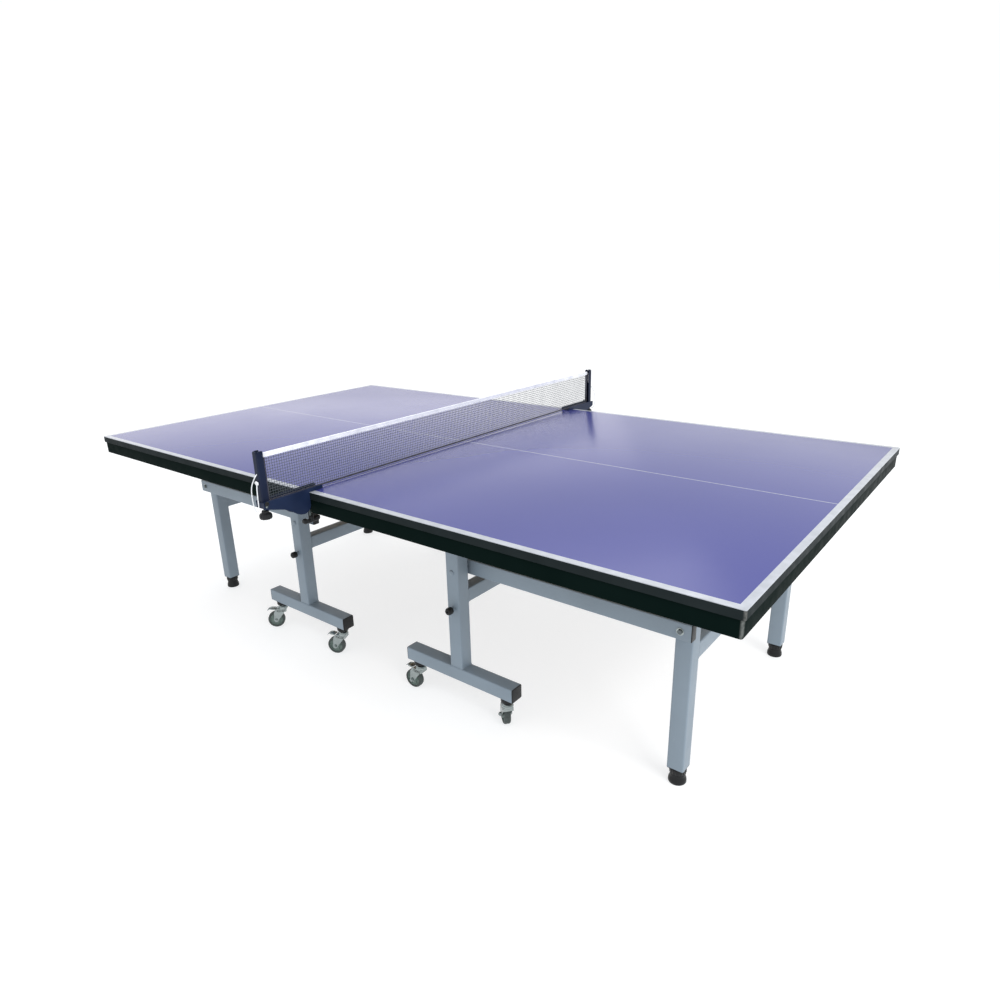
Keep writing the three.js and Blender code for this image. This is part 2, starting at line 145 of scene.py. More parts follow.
def coated(name, colour, roughness, metallic=0.0, spread=0.08, mottle=9.0, grain=700.0,
           relief=0.12, scuff=0.0, scuff_colour=(0.5, 0.5, 0.5, 1.0), specular=0.5):
    """A painted, plated or moulded surface: mottled colour, fine relief, and thin scuffs."""
    n = Nodes(name)
    soft = n.noise(mottle, 4.0)
    base = n.mix(n.between(soft, 0.35, 0.65), shade(colour, 1 - spread), shade(colour, 1 + spread))
    fine = n.noise(grain, 2.0)
    rough = n.between(n.noise(mottle * 4, 3.0), 0.3, 0.7, roughness * 0.85, min(1.0, roughness * 1.15))
    if scuff:
        streaks = n.noise(60.0, 6.0, (1.0, 0.35, 0.35), 0.7)
        worn = n.math("MULTIPLY", n.between(streaks, 0.66, 0.74), scuff)
        base = n.mix(worn, base, scuff_colour)
    return n.finish(**{"Base Color": base, "Roughness": rough, "Metallic": metallic,
                       "Specular IOR Level": specular, "Normal": n.bump(fine, relief)})


LINE_WIDTH, CENTRE_LINE = 0.020, 0.003


def court_paint():
    """Blue-violet lacquer with a fine orange peel, white court lines and faint dust."""
    n = Nodes("court_paint")
    low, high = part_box("top_panel_b")
    x, y, _ = n.axes()
    side = n.math("GREATER_THAN", n.math("ABSOLUTE", y), high.y - LINE_WIDTH)
    end = n.math("GREATER_THAN", n.math("ABSOLUTE", x), high.x - LINE_WIDTH)
    centre = n.math("LESS_THAN", n.math("ABSOLUTE", y), CENTRE_LINE / 2)
    line = n.math("MAXIMUM", n.math("MAXIMUM", side, end), centre)
    clouds = n.between(n.noise(1.6, 4.0), 0.3, 0.7)
    paint = n.mix(clouds, (0.044, 0.050, 0.220, 1), (0.050, 0.056, 0.236, 1))
    dust = n.between(n.noise(240.0, 5.0, None, 0.8), 0.62, 0.8, 0.0, 0.07)
    paint = n.mix(dust, paint, (0.20, 0.20, 0.32, 1))
    white = n.mix(n.between(n.noise(35.0, 4.0), 0.35, 0.7), (0.36, 0.38, 0.42, 1), (0.43, 0.45, 0.50, 1))
    peel = n.bump(n.noise(420.0, 2.0), 0.02, 0.0003)
    raised = n.bump(line, 0.25, 0.0001, peel)
    rough = n.between(n.noise(2.0, 5.0), 0.3, 0.7, 0.20, 0.25)
    return n.finish(**{"Base Color": n.mix(line, paint, white), "Roughness": rough,
                       "Normal": raised, "Specular IOR Level": 0.5})


def edging_paint():
    """Dark edging of the board, with a rubbed pale band on its outer corners."""
    n = Nodes("edging_paint")
    low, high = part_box("top_panel_b")
    x, y, _ = n.axes()
    past_x = n.between(n.math("ABSOLUTE", x), high.x - 0.007, high.x - 0.002)
    past_y = n.between(n.math("ABSOLUTE", y), high.y - 0.007, high.y - 0.002)
    corner = n.math("MULTIPLY", past_x, past_y)
    patchy = n.between(n.noise(70.0, 5.0), 0.35, 0.6, 0.25, 1.0)
    dark = n.mix(n.noise(12.0, 4.0), (0.008, 0.012, 0.013, 1), (0.021, 0.027, 0.029, 1))
    worn = n.mix(n.math("MULTIPLY", corner, patchy), dark, (0.20, 0.20, 0.19, 1))
    rough = n.between(n.noise(30.0), 0.3, 0.7, 0.34, 0.5)
    return n.finish(**{"Base Color": worn, "Roughness": rough, "Specular IOR Level": 0.015,
                       "Normal": n.bump(n.noise(600.0), 0.08)})


def apron_paint_and_reflection():
    """Black powder coat with a green tint that is a painted reflection, rubbed grey along the bottom arris and at
    the outer corners.
    """
    n = Nodes("apron_paint_and_reflection")
    low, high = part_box("apron_frame_b")
    x, y, z = n.axes()
    past_x = n.between(n.math("ABSOLUTE", x), high.x - 0.008, high.x - 0.003)
    past_y = n.between(n.math("ABSOLUTE", y), high.y - 0.008, high.y - 0.003)
    patchy = n.between(n.noise(60.0, 5.0), 0.35, 0.6, 0.2, 1.0)
    corner = n.math("MULTIPLY", n.math("MULTIPLY", past_x, past_y), patchy)
    arris = n.math("MULTIPLY", n.between(z, low.z + 0.003, low.z, 0.0, 0.15),
                   n.between(n.noise(110.0, 5.0), 0.5, 0.65))
    # The green tint of this dark coat is a painted reflection of green surroundings; the coat itself is black.
    dark = n.mix(n.noise(7.0, 4.0), (0.0020, 0.0060, 0.0052, 1), (0.0040, 0.0095, 0.0085, 1))
    worn = n.mix(n.math("MAXIMUM", corner, arris), dark, (0.16, 0.17, 0.165, 1))
    rough = n.between(n.noise(40.0), 0.3, 0.7, 0.32, 0.46)
    return n.finish(**{"Base Color": worn, "Roughness": rough, "Specular IOR Level": 0.004,
                       "Normal": n.bump(n.noise(900.0), 0.15)})


def underside_board():
    """Sealed brown fibreboard with flecks."""
    n = Nodes("underside_board")
    flecks = n.noise(260.0, 6.0, (1.0, 2.0, 1.0), 0.8)
    base = n.mix(n.between(flecks, 0.4, 0.62), (0.20, 0.13, 0.075, 1), (0.33, 0.23, 0.14, 1))
    return n.finish(**{"Base Color": base, "Roughness": n.between(flecks, 0.3, 0.7, 0.6, 0.85),
                       "Normal": n.bump(flecks, 0.2)})


def woven_cotton(name, dark, light, scale):
    """Plain-woven tape: crossing waves of thread, with a little soil."""
    n = Nodes(name)
    threads = []
    for direction in ("Y", "Z"):
        inputs = {"Vector": n.place, "Scale": scale, "Distortion": 0.3}
        wave = n.add("ShaderNodeTexWave", inputs, wave_type="BANDS", bands_direction=direction)
        threads.append(wave.outputs["Fac"])
    weave = n.math("MULTIPLY", *threads)
    soil = n.noise(22.0, 5.0)
    base = n.mix(n.between(n.math("ADD", n.math("MULTIPLY", weave, 0.25), soil), 0.35, 0.75), dark, light)
    return n.finish(**{"Base Color": base, "Roughness": n.between(weave, 0.0, 1.0, 0.9, 0.75),
                       "Sheen Weight": 0.25, "Normal": n.bump(weave, 0.35)})


COURT = court_paint()
EDGING = edging_paint()
APRON = apron_paint_and_reflection()
UNDERSIDE = underside_board()
GREY = coated("grey_powder_coat", (0.190, 0.240, 0.290), 0.40, spread=0.06, mottle=5.0, grain=900.0,
              relief=0.10, scuff=0.3, scuff_colour=(0.32, 0.36, 0.38, 1.0), specular=0.4)
BLACK_STEEL = coated("black_powder_coat", (0.010, 0.013, 0.013), 0.38, spread=0.25, scuff=0.4,
                     scuff_colour=(0.08, 0.08, 0.08, 1.0), specular=0.2)
NAVY = coated("navy_powder_coat", (0.009, 0.017, 0.046), 0.36, spread=0.16, scuff=0.25,
              scuff_colour=(0.05, 0.08, 0.13, 1.0), specular=0.15)
CHARCOAL = coated("charcoal_powder_coat", (0.011, 0.016, 0.036), 0.38, spread=0.16, scuff=0.25,
                  scuff_colour=(0.06, 0.07, 0.10, 1.0), specular=0.10)
ZINC = coated("bright_zinc", (0.32, 0.36, 0.36), 0.24, metallic=1.0, spread=0.07, mottle=40.0,
              relief=0.05, scuff=0.15, scuff_colour=(0.35, 0.37, 0.38, 1.0))
DULL_STEEL = coated("dull_steel", (0.13, 0.15, 0.16), 0.45, metallic=0.85, spread=0.10, mottle=60.0,
                    relief=0.08, scuff=0.15, scuff_colour=(0.14, 0.15, 0.15, 1.0))
PLASTIC = coated("black_plastic", (0.011, 0.012, 0.013), 0.42, spread=0.2, grain=1600.0, relief=0.25,
                 specular=0.22)
HUB = coated("grey_green_hub", (0.12, 0.165, 0.150), 0.5, spread=0.12, mottle=60.0, grain=1500.0)
TYRE = coated("tyre_rubber", (0.040, 0.052, 0.050), 0.62, spread=0.22, mottle=80.0, grain=1200.0,
              relief=0.4)
THREAD = coated("net_nylon", (0.075, 0.085, 0.100), 0.75, spread=0.2, mottle=200.0, grain=3000.0,
                relief=0.6, specular=0.3)
TAPE = woven_cotton("white_cotton", (0.66, 0.68, 0.74, 1), (0.90, 0.91, 0.95, 1), 900.0)
HEM = woven_cotton("dark_hem", (0.018, 0.018, 0.03, 1), (0.05, 0.05, 0.075, 1), 900.0)
CORD = coated("white_cord", (0.80, 0.82, 0.85), 0.8, spread=0.08, mottle=300.0, grain=1100.0,
              relief=0.8, specular=0.3)

# ---- solids ----


def lift(axis, u, v, w):
    """A point from its place across an axis, (u, v), and along it, w."""
    return {"x": (w, u, v), "y": (u, w, v), "z": (u, v, w)}[axis]


def circle(radius, sides, lobes=0, depth=0.0):
    points = []
    for step in range(sides):
        angle = 2 * math.pi * step / sides
        reach = radius * (1 + depth * math.cos(lobes * angle))
        points.append((reach * math.cos(angle), reach * math.sin(angle)))
    return points


def filleted(corners, radius, steps=3):
    """A closed outline with its corners rounded; radius is one number or one for each corner."""
    radii = radius if isinstance(radius, (list, tuple)) else [radius] * len(corners)
    outline = []
    for index, (corner, r) in enumerate(zip(corners, radii)):
        here = Vector(corner)
        before = Vector(corners[index - 1]) - here
        after = Vector(corners[(index + 1) % len(corners)]) - here
        if r <= 0:
            outline.append(tuple(here))
            continue
        half = before.angle(after) / 2
        reach = min(r / math.tan(half), before.length * 0.48, after.length * 0.48)
        start, end = here + before.normalized() * reach, here + after.normalized() * reach
        for step in range(steps + 1):
            t = step / steps
            outline.append(tuple(start * (1 - t) ** 2 + here * 2 * t * (1 - t) + end * t * t))
    return outline


def rectangle(width, height, radius, steps=3, middle=(0, 0)):
    u, v = width / 2, height / 2
    corners = [(-u, -v), (u, -v), (u, v), (-u, v)]
    return [(a + middle[0], b + middle[1]) for a, b in filleted(corners, radius, steps)]


def shrunk(outline, by):
    """The outline moved inwards by a distance."""
    area = sum(a[0] * b[1] - b[0] * a[1] for a, b in zip(outline, outline[1:] + outline[:1]))
    turn = 1 if area > 0 else -1
    moved = []
    for index, point in enumerate(outline):
        here = Vector(point)
        before = (here - Vector(outline[index - 1])).normalized()
        after = (Vector(outline[(index + 1) % len(outline)]) - here).normalized()
        along = (before + after).normalized()
        inward = Vector((-along.y, along.x)) * turn
        cosine = max(0.5, inward.dot(Vector((-after.y, after.x)) * turn))
        moved.append(tuple(here + inward * by / cosine))
    return moved


class Form:
    """Closed solids gathered into one mesh, each with the number of its material."""

    def __init__(self):
        self.points, self.faces, self.finishes = [], [], []

    def loft(self, rings, finish=0, closed=False, caps=(None, None)):
        """Skin over rings of equal length, capped at both ends, or closed round on themselves."""
        start, count = len(self.points), len(rings[0])
        for ring in rings:
            self.points += [Vector(point) for point in ring]
        last = len(rings) if closed else len(rings) - 1
        for row in range(last):
            below, above = start + row * count, start + (row + 1) % len(rings) * count
            for i in range(count):
                j = (i + 1) % count
                self.faces.append((below + i, below + j, above + j, above + i))
                self.finishes.append(finish)
        if not closed:
            top = start + (len(rings) - 1) * count
            for ends, own in ((range(start + count - 1, start - 1, -1), caps[0]),
                              (range(top, top + count), caps[1])):
                self.faces.append(tuple(ends))
                self.finishes.append(finish if own is None else own)
        return self

    def prism(self, axis, outline, span, bevel=0.6, finish=0, caps=(None, None)):
        """A solid of one outline along an axis, with bevelled ends."""
        low, high = span
        inner = shrunk(outline, bevel) if bevel else outline
        rings = [(inner, low), (outline, low + bevel), (outline, high - bevel), (inner, high)]
        if not bevel:
            rings = rings[1:3]
        return self.loft([[lift(axis, u, v, w) for u, v in ring] for ring, w in rings], finish, caps=caps)

    def pipe(self, axis, outline, span, wall=2.0, finish=0):
        """An open-ended tube of one outline."""
        inner = shrunk(outline, wall)
        rings = [(outline, span[0]), (outline, span[1]), (inner, span[1]), (inner, span[0])]
        return self.loft([[lift(axis, u, v, w) for u, v in ring] for ring, w in rings], finish, closed=True)

    def turn(self, axis, middle, profile, sides=20, finish=0, closed=False, lobes=0, depth=0.0):
        """A turned solid about an axis, from (radius, place along the axis) pairs."""
        rings = []
        for radius, w in profile:
            ring = circle(radius, sides, lobes, depth)
            rings.append([lift(axis, u + middle[0], v + middle[1], w) for u, v in ring])
        return self.loft(rings, finish, closed=closed)

    def rod(self, axis, middle, radius, span, sides=16, bevel=0.5, finish=0):
        low, high = span
        profile = [(radius - bevel, low), (radius, low + bevel), (radius, high - bevel), (radius - bevel, high)]
        return self.turn(axis, middle, profile, sides, finish)

    def sweep(self, path, radius, sides=8, finish=0, closed=False):
        """A round strand along a path; radius may be one number for each point."""
        path = [Vector(point) for point in path]
        radii = radius if isinstance(radius, (list, tuple)) else [radius] * len(path)
        count, rings = len(path), []
        across = None
        for index, point in enumerate(path):
            ahead = path[(index + 1) % count] if closed else path[min(index + 1, count - 1)]
            behind = path[index - 1] if closed or index else path[0]
            along = (ahead - behind).normalized()
            if across is None:
                other = Vector((0, 0, 1)) if abs(along.z) < 0.9 else Vector((1, 0, 0))
                across = along.cross(other).normalized()
            across = (across - along * across.dot(along)).normalized()
            up = along.cross(across)
            ring = circle(radii[index], sides)
            rings.append([point + across * u + up * v for u, v in ring])
        return self.loft(rings, finish, closed=closed)

    def hexagon(self, axis, middle, across, span, finish=0):
        """A bolt head or nut, six-sided with turned-off corners."""
        low, high = span
        radius = across / 2 / math.cos(math.pi / 6)
        rings = []
        for r, w in ((radius * 0.9, low), (radius, low + 0.7), (radius, high - 0.7), (radius * 0.9, high)):
            rings.append([lift(axis, u + middle[0], v + middle[1], w) for u, v in circle(r, 6)])
        return self.loft(rings, finish)

    def shift(self, matrix):
        self.points = [matrix @ point for point in self.points]
        return self

    def piece(self, name, body, slot, materials, replaces=(), place=None, sharp=32):
        """Makes the mesh, in metres, and lets it ride on a CAD body."""
        mesh = bpy.data.meshes.new(name)
        mesh.from_pydata([point * MM for point in self.points], [], self.faces)
        mesh.polygons.foreach_set("material_index", self.finishes)
        mesh.polygons.foreach_set("use_smooth", [True] * len(self.faces))
        if place:
            mesh.transform(place)
        shell = bmesh.new()
        shell.from_mesh(mesh)
        bmesh.ops.recalc_face_normals(shell, faces=shell.faces)
        shell.to_mesh(mesh)
        shell.free()
        mesh.set_sharp_from_angle(angle=math.radians(sharp))
        for material in materials:
            mesh.materials.append(material)
        return place_piece(name, mesh, body, replaces)


def place_piece(name, data, body, replaces=()):
    piece = bpy.data.objects.new(name, data)
    bpy.context.scene.collection.objects.link(piece)
    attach(piece, body)
    if replaces:
        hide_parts(*replaces)
    return piece


def threaded(form, axis, middle, radius, span, finish=0, pitch=1.5):
    """A screw thread, drawn as close rings."""
    turns = max(2, int((span[1] - span[0]) / pitch))
    profile = []
    for step in range(turns):
        w = span[0] + step * (span[1] - span[0]) / turns
        profile += [(radius - 0.7, w), (radius, w + 0.5 * pitch)]
    profile.append((radius - 0.7, span[1]))
    return form.turn(axis, middle, profile, 12, finish)


def carved(piece, cutters):
    """Cuts solids out of a piece and bakes the result into its mesh."""
    for form in cutters:
        mesh = bpy.data.meshes.new("cutter")
        mesh.from_pydata([point * MM for point in form.points], [], form.faces)
        tool = bpy.data.objects.new("cutter", mesh)
        bpy.context.scene.collection.objects.link(tool)
        cut = piece.modifiers.new("cut", "BOOLEAN")
        cut.operation, cut.solver, cut.object = "DIFFERENCE", "EXACT", tool
        bpy.context.view_layer.update()
        whole = piece.evaluated_get(bpy.context.evaluated_depsgraph_get())
        result = bpy.data.meshes.new_from_object(whole)
        piece.modifiers.clear()
        old, piece.data = piece.data, result
        bpy.data.meshes.remove(old)
        bpy.data.objects.remove(tool)
        bpy.data.meshes.remove(mesh)


# ---- net cords, first because their solids in the CAD have to match ----

NET_CORD_Y = 929.5
NET_CORD_RADIUS = 1.6
NET_CORD_ROUTE = [
    (0, -31.1, 905), (0, -27.5, 905), (0, -23.5, 904), (0, -20, 900.5), (0, -18.5, 895), (0, -18.3, 886),
    (0, -18.1, 876), (0, -17, 867), (0, -14.5, 860), (0, -10.5, 855), (0, -5.5, 852), (-2, -1.5, 847),
    (-7, 0, 839), (-15, 0.5, 828), (-23, 1, 814), (-28, 1, 796), (-29, 1, 772), (-26, 1, 751),
    (-19, 1, 739), (-11, 1, 737), (-5, 0.5, 744), (-3, 0, 760), (-2, 0, 785), (0, 0, 806), (3, 0, 824),
]
KNOT = (2.5, 828)
SIDES = {"near": -1, "far": 1}


def smooth_route(points, steps=6):
    """A smooth curve through the points, as evenly sampled positions."""
    ends = [points[0] * 2 - points[1], *points, points[-1] * 2 - points[-2]]
    route = []
    for a, b, c, d in zip(ends, ends[1:], ends[2:], ends[3:]):
        for step in range(steps):
            t = step / steps
            route.append(0.5 * (2 * b + (c - a) * t + (2 * a - 5 * b + 4 * c - d) * t * t
                                + (3 * b - a - 3 * c + d) * t ** 3))
    return [*route, points[-1]]


def net_cord(place, side):
    """The cord that draws the net taut: down inside the post, out through its web, and tied in a loop."""
    points = [Vector((x * -side, side * (NET_CORD_Y + y), z)) * MM for x, y, z in NET_CORD_ROUTE]
    route = smooth_route(points)
    curve = bpy.data.curves.new(f"net_cord_line_{place}", "CURVE")
    curve.dimensions, curve.bevel_depth, curve.bevel_resolution = "3D", NET_CORD_RADIUS * MM, 3
    curve.use_fill_caps = True
    line = curve.splines.new("POLY")
    line.points.add(len(route) - 1)
    for spot, at in zip(line.points, route):
        spot.co = (*at, 1)
    line.use_smooth = True
    curve.materials.append(CORD)
    cord = place_piece(f"net_cord_line_{place}", curve, "net_set", [f"net_cord_{place}"])
    tie = Form()
    knot_at = Vector((-side * KNOT[0], side * NET_CORD_Y, KNOT[1]))
    for lean, size in ((0.0, 6.2), (1.1, 5.2), (2.2, 5.8)):
        loop = []
        for step in range(20):
            angle = 2 * math.pi * step / 20
            spot = Vector((size * math.cos(angle), 1.6 * math.sin(2 * angle + lean), 3.2 * math.sin(angle)))
            loop.append(knot_at + Matrix.Rotation(lean * 0.35, 3, "Y") @ spot)
        tie.sweep(loop, 1.5, 8, closed=True)
    knot = tie.piece(f"net_cord_knot_{place}", "net_set", "white_tape", [CORD])


for place, side in SIDES.items():
    net_cord(place, side)

# ---- one half of the table ----

HALVES = {"a": Matrix.Rotation(math.pi, 4, "Z"), "b": Matrix.Identity(4)}
TUBE_WALL, TUBE_RADIUS = 2.0, 5.0
BASE_X = joint_mm("tip_up_b").x
LEG_X = joint_mm("legs_fold_b").x
TOP_PIVOT_Z = joint_mm("tip_up_b").z
RAIL_Y = abs(joint_mm("rail_swing_b_near").y)
RAIL_Z = joint_mm("rail_swing_b_near").z
BASE_LOW, BASE_HIGH = box_mm("base_frame_b")
LEG_LOW, LEG_HIGH = box_mm("end_leg_frame_b")
BOARD_LOW, BOARD_HIGH = box_mm("top_panel_b")
APRON_LOW, APRON_HIGH = box_mm("apron_frame_b")
TUBE = 50.0
FOOT_HEIGHT = 48.0
POST_Y = BASE_HIGH.y - TUBE / 2
LEG_Y = LEG_HIGH.y - TUBE / 2
FOOT_Z = (BASE_LOW.z, BASE_LOW.z + FOOT_HEIGHT)
BASE_CROSS_Z = (391.0, 439.0)
LEG_CROSS_Z = (393.0, 443.0)
CROSS_DEPTH = 46.0
LOCK_Z = (box_mm("lock_pin_b_near")[0].z + box_mm("lock_pin_b_near")[1].z) / 2
LOCK_TRAVEL = JOINTS["lock_push_b_near"]["range_m"][1] / MM


def span_of(side, near, far):
    """A stretch between two distances from the middle plane, on one side of it."""
    return (near, far) if side > 0 else (-far, -near)


def middle_of(low, high):
    return (low + high) / 2


def weld(form, axis, outline, at, radius=1.8):
    """A rippled bead of weld round an outline, where one tube stands on another."""
    path, radii = [], []
    for index, (u, v) in enumerate(outline):
        near = outline[(index + 1) % len(outline)]
        gap = math.hypot(near[0] - u, near[1] - v)
        pieces = max(1, round(gap / 3.5))
        for step in range(pieces):
            t = step / pieces
            path.append(lift(axis, u + (near[0] - u) * t, v + (near[1] - v) * t, at))
            radii.append(radius * (1.0 if len(path) % 2 else 0.78))
    form.sweep(path, radii, 6, closed=True)


def end_plug(form, axis, outline, face, outwards, depth=3.0):
    """A ribbed plastic plug that closes a tube: a domed flange and a body inside the bore."""
    inner = shrunk(outline, TUBE_WALL + 0.2)
    rings = [(shrunk(inner, 1.0), face - outwards * 14), (inner, face - outwards * 12),
             (inner, face + outwards * 0.05), (shrunk(outline, 0.4), face + outwards * 0.1),
             (outline, face + outwards * 0.8), (shrunk(outline, 0.5), face + outwards * (depth - 0.8)),
             (shrunk(outline, 2.6), face + outwards * depth)]
    form.loft([[lift(axis, u, v, w) for u, v in ring] for ring, w in rings])


def board(half, place):
    """The playing board: lacquered top, dark edging, sealed underside."""
    form = Form()
    width, depth = BOARD_HIGH.x - BOARD_LOW.x, 2 * BOARD_HIGH.y
    middle = (middle_of(BOARD_LOW.x, BOARD_HIGH.x), 0)
    outline = rectangle(width, depth, 5.0, 5, middle)
    low, high = BOARD_LOW.z, BOARD_HIGH.z
    edge = [(1.2, low), (0.0, low + 1.2), (0.0, low + 12), (0.0, high - 2.0)]
    lip = [(0.15, high - 0.9), (0.7, high - 0.25), (1.6, high)]
    points = [[(u, v, w) for u, v in shrunk(outline, by)] for by, w in edge + lip]
    form.loft(points, 1, caps=(2, 0))
    for row in range(len(edge) - 1, len(edge) + len(lip) - 1):
        start = row * len(outline)
        form.finishes[start:start + len(outline)] = [0] * len(outline)
    form.piece(f"board_{half}", f"top_{half}", "playing_surface", [COURT, EDGING, UNDERSIDE],
               [f"top_panel_{half}"], place)


APRON_WALL, APRON_FLANGE = 2.0, 28.0
POST_NOTCH, CLAMP_NOTCH, CLAMP_NOTCH_REACH = (490, 552), (722, 770), 46
CLAMP_X = -middle_of(box_mm("net_clamp_screw_near")[0].x, box_mm("net_clamp_screw_near")[1].x)
CLAMP_Y = -middle_of(box_mm("net_clamp_screw_near")[0].y, box_mm("net_clamp_screw_near")[1].y)


def apron(half, place):
    """A channel-section ring under the board, with a rounded arris and notches at the joint."""
    width, depth = APRON_HIGH.x - APRON_LOW.x, 2 * APRON_HIGH.y
    middle = (middle_of(APRON_LOW.x, APRON_HIGH.x), 0)
    low, high = APRON_LOW.z, APRON_HIGH.z
    section = [(3.0, low), (1.2, low + 0.5), (0.35, low + 1.4), (0.0, low + 3.0), (0.0, high - 3.0),
               (0.4, high - 1.0), (1.6, high), (APRON_FLANGE, high), (APRON_FLANGE, high - APRON_WALL),
               (APRON_WALL, high - APRON_WALL), (APRON_WALL, low + APRON_WALL),
               (APRON_FLANGE, low + APRON_WALL), (APRON_FLANGE, low)]
    form = Form()
    rings = []
    for inset, z in section:
        outline = rectangle(width - 2 * inset, depth - 2 * inset, max(0.5, 7.0 - inset), 5, middle)
        rings.append([(u, v, z) for u, v in outline])
    form.loft(rings, closed=True)
    piece = form.piece(f"apron_{half}", f"top_{half}", "black_steel", [APRON],
                       [f"apron_frame_{half}"], place)
    cutters = []
    for side in (-1, 1):
        notches = [(POST_NOTCH, APRON_LOW.x + APRON_FLANGE + 1)]
        if half == "a":
            notches.append((CLAMP_NOTCH, CLAMP_NOTCH_REACH))
        for (near, far), reach in notches:
            u0, u1 = span_of(side, near, far)
            notch = rectangle(u1 - u0, high - low, 3.0, 3, (middle_of(u0, u1), middle_of(low - 1, high - 3)))
            cutters.append(Form().prism("x", notch, (0, reach), 0).shift(place))
    carved(piece, cutters)
    piece.data.set_sharp_from_angle(angle=math.radians(32))
    return piece


def apron_details(half, place):
    """Screws through the lower flange, corner gussets, and on half a the clamp plates."""
    form = Form()
    low = APRON_LOW.z
    for side in (-1, 1):
        for step in range(6):
            x = 170 + step * 215
            form.turn("z", (x, side * 744), [(3.2, low - 1.6), (4.4, low - 1.0), (4.8, low + 0.3), (1.5, low + 0.5)], 12)
        for x in (APRON_LOW.x + APRON_WALL, APRON_HIGH.x - APRON_WALL):
            inward = 1 if x < BASE_X else -1
            u, v = side * (APRON_HIGH.y - APRON_WALL), x
            corner = [(v, u), (v + inward * 60, u), (v, u - side * 60)]
            if inward < 0:
                form.prism("z", filleted(corner, 4.0), (low + 2.2, low + 5.2), 0.4, finish=1)
        if half == "a":
            u0, u1 = span_of(side, CLAMP_Y - 16, CLAMP_Y + 10.5)
            hole = circle(4.8, 24)
            ring = [(a + CLAMP_X, b + side * CLAMP_Y) for a, b in hole]
            outer = []
            for a, b in hole:
                x0, x1 = 3.0, 60.0
                reach = min((x1 - CLAMP_X if a > 0 else CLAMP_X - x0) / max(1e-6, abs(a)),
                            (u1 - side * CLAMP_Y if b > 0 else side * CLAMP_Y - u0) / max(1e-6, abs(b)))
                outer.append((CLAMP_X + a * reach, side * CLAMP_Y + b * reach))
            rings = [(outer, 696), (outer, 700), (ring, 700), (ring, 696)]
            form.loft([[(a, b, w) for a, b in line] for line, w in rings], 1, closed=True)
    form.piece(f"apron_fittings_{half}", f"top_{half}", "black_steel", [ZINC, APRON], (), place)


def base_frame(half, place):
    form, plugs = Form(), Form()
    cross = rectangle(CROSS_DEPTH, BASE_CROSS_Z[1] - BASE_CROSS_Z[0], TUBE_RADIUS, 4,
                      (BASE_X, middle_of(*BASE_CROSS_Z)))
    inner_face = POST_Y - TUBE / 2
    form.pipe("y", cross, (-inner_face - 1, inner_face + 1), TUBE_WALL)
    for side in (-1, 1):
        y = side * POST_Y
        foot = rectangle(TUBE, FOOT_HEIGHT, TUBE_RADIUS, 4, (y, middle_of(*FOOT_Z)))
        form.pipe("x", foot, (BASE_LOW.x, BASE_HIGH.x), TUBE_WALL)
        post = rectangle(TUBE, TUBE, TUBE_RADIUS, 4, (BASE_X, y))
        form.pipe("z", post, (FOOT_Z[1] - 1, BASE_HIGH.z), TUBE_WALL)
        weld(form, "z", post, FOOT_Z[1] + 0.4)
        weld(form, "y", cross, side * (inner_face - 0.4))
        for x, outwards in ((BASE_LOW.x, -1), (BASE_HIGH.x, 1)):
            end_plug(plugs, "x", foot, x, outwards)
        # The sleeve that the storage-lock pin slides in.
        outer_face = POST_Y + TUBE / 2
        low, high = outer_face - 1, outer_face + LOCK_TRAVEL - 1.5
        profile = [(5.2, low), (8.2, low), (8.2, high - 0.6), (7.6, high), (5.2, high)]
        form.turn("y", (BASE_X, LOCK_Z), [(r, side * w) for r, w in profile], 20, closed=True)
        bead = [(BASE_X + u, LOCK_Z + v) for u, v in circle(8.4, 16)]
        weld(form, "y", bead, side * (outer_face + 0.2), 1.2)
    form.piece(f"base_tubes_{half}", f"base_{half}", "grey_steel", [GREY], [f"base_frame_{half}"], place)
    plugs.piece(f"base_plugs_{half}", f"base_{half}", "black_plastic", [PLASTIC], (), place)


def end_legs(half, place):
    form, plugs = Form(), Form()
    cross = rectangle(CROSS_DEPTH, LEG_CROSS_Z[1] - LEG_CROSS_Z[0], TUBE_RADIUS, 4,
                      (LEG_X, middle_of(*LEG_CROSS_Z)))
    inner_face = LEG_Y - TUBE / 2
    form.pipe("y", cross, (-inner_face - 1, inner_face + 1), TUBE_WALL)
    for side in (-1, 1):
        leg = rectangle(TUBE, TUBE, TUBE_RADIUS, 4, (LEG_X, side * LEG_Y))
        form.pipe("z", leg, (LEG_LOW.z + 3, LEG_HIGH.z), TUBE_WALL)
        weld(form, "y", cross, side * (inner_face - 0.4))
        plug = [(shrunk(leg, 1.5), LEG_LOW.z), (shrunk(leg, 0.3), LEG_LOW.z + 1), (leg, LEG_LOW.z + 2.9),
                (shrunk(leg, 2.3), LEG_LOW.z + 3.0), (shrunk(leg, 2.3), LEG_LOW.z + 16)]
        hole = [(u + LEG_X, v + side * LEG_Y) for u, v in circle(6.5, len(leg))]
        turned = sorted(range(len(leg)), key=lambda i: math.atan2(leg[i][1] - side * LEG_Y, leg[i][0] - LEG_X))
        bore = sorted(hole, key=lambda p: math.atan2(p[1] - side * LEG_Y, p[0] - LEG_X))
        rings = [([ring[i] for i in turned], w) for ring, w in plug]
        rings += [(bore, LEG_LOW.z + 16), (bore, LEG_LOW.z)]
        plugs.loft([[(u, v, w) for u, v in ring] for ring, w in rings], closed=True)
    form.piece(f"leg_tubes_{half}", f"legs_{half}", "grey_steel", [GREY], [f"end_leg_frame_{half}"], place)
    plugs.piece(f"leg_plugs_{half}", f"legs_{half}", "black_plastic", [PLASTIC], (), place)


def nut(form, x, z, side, face, across=13.0):
    form.hexagon("y", (x, z), across, sorted((side * (face - 5.5), side * (face - 0.2))))


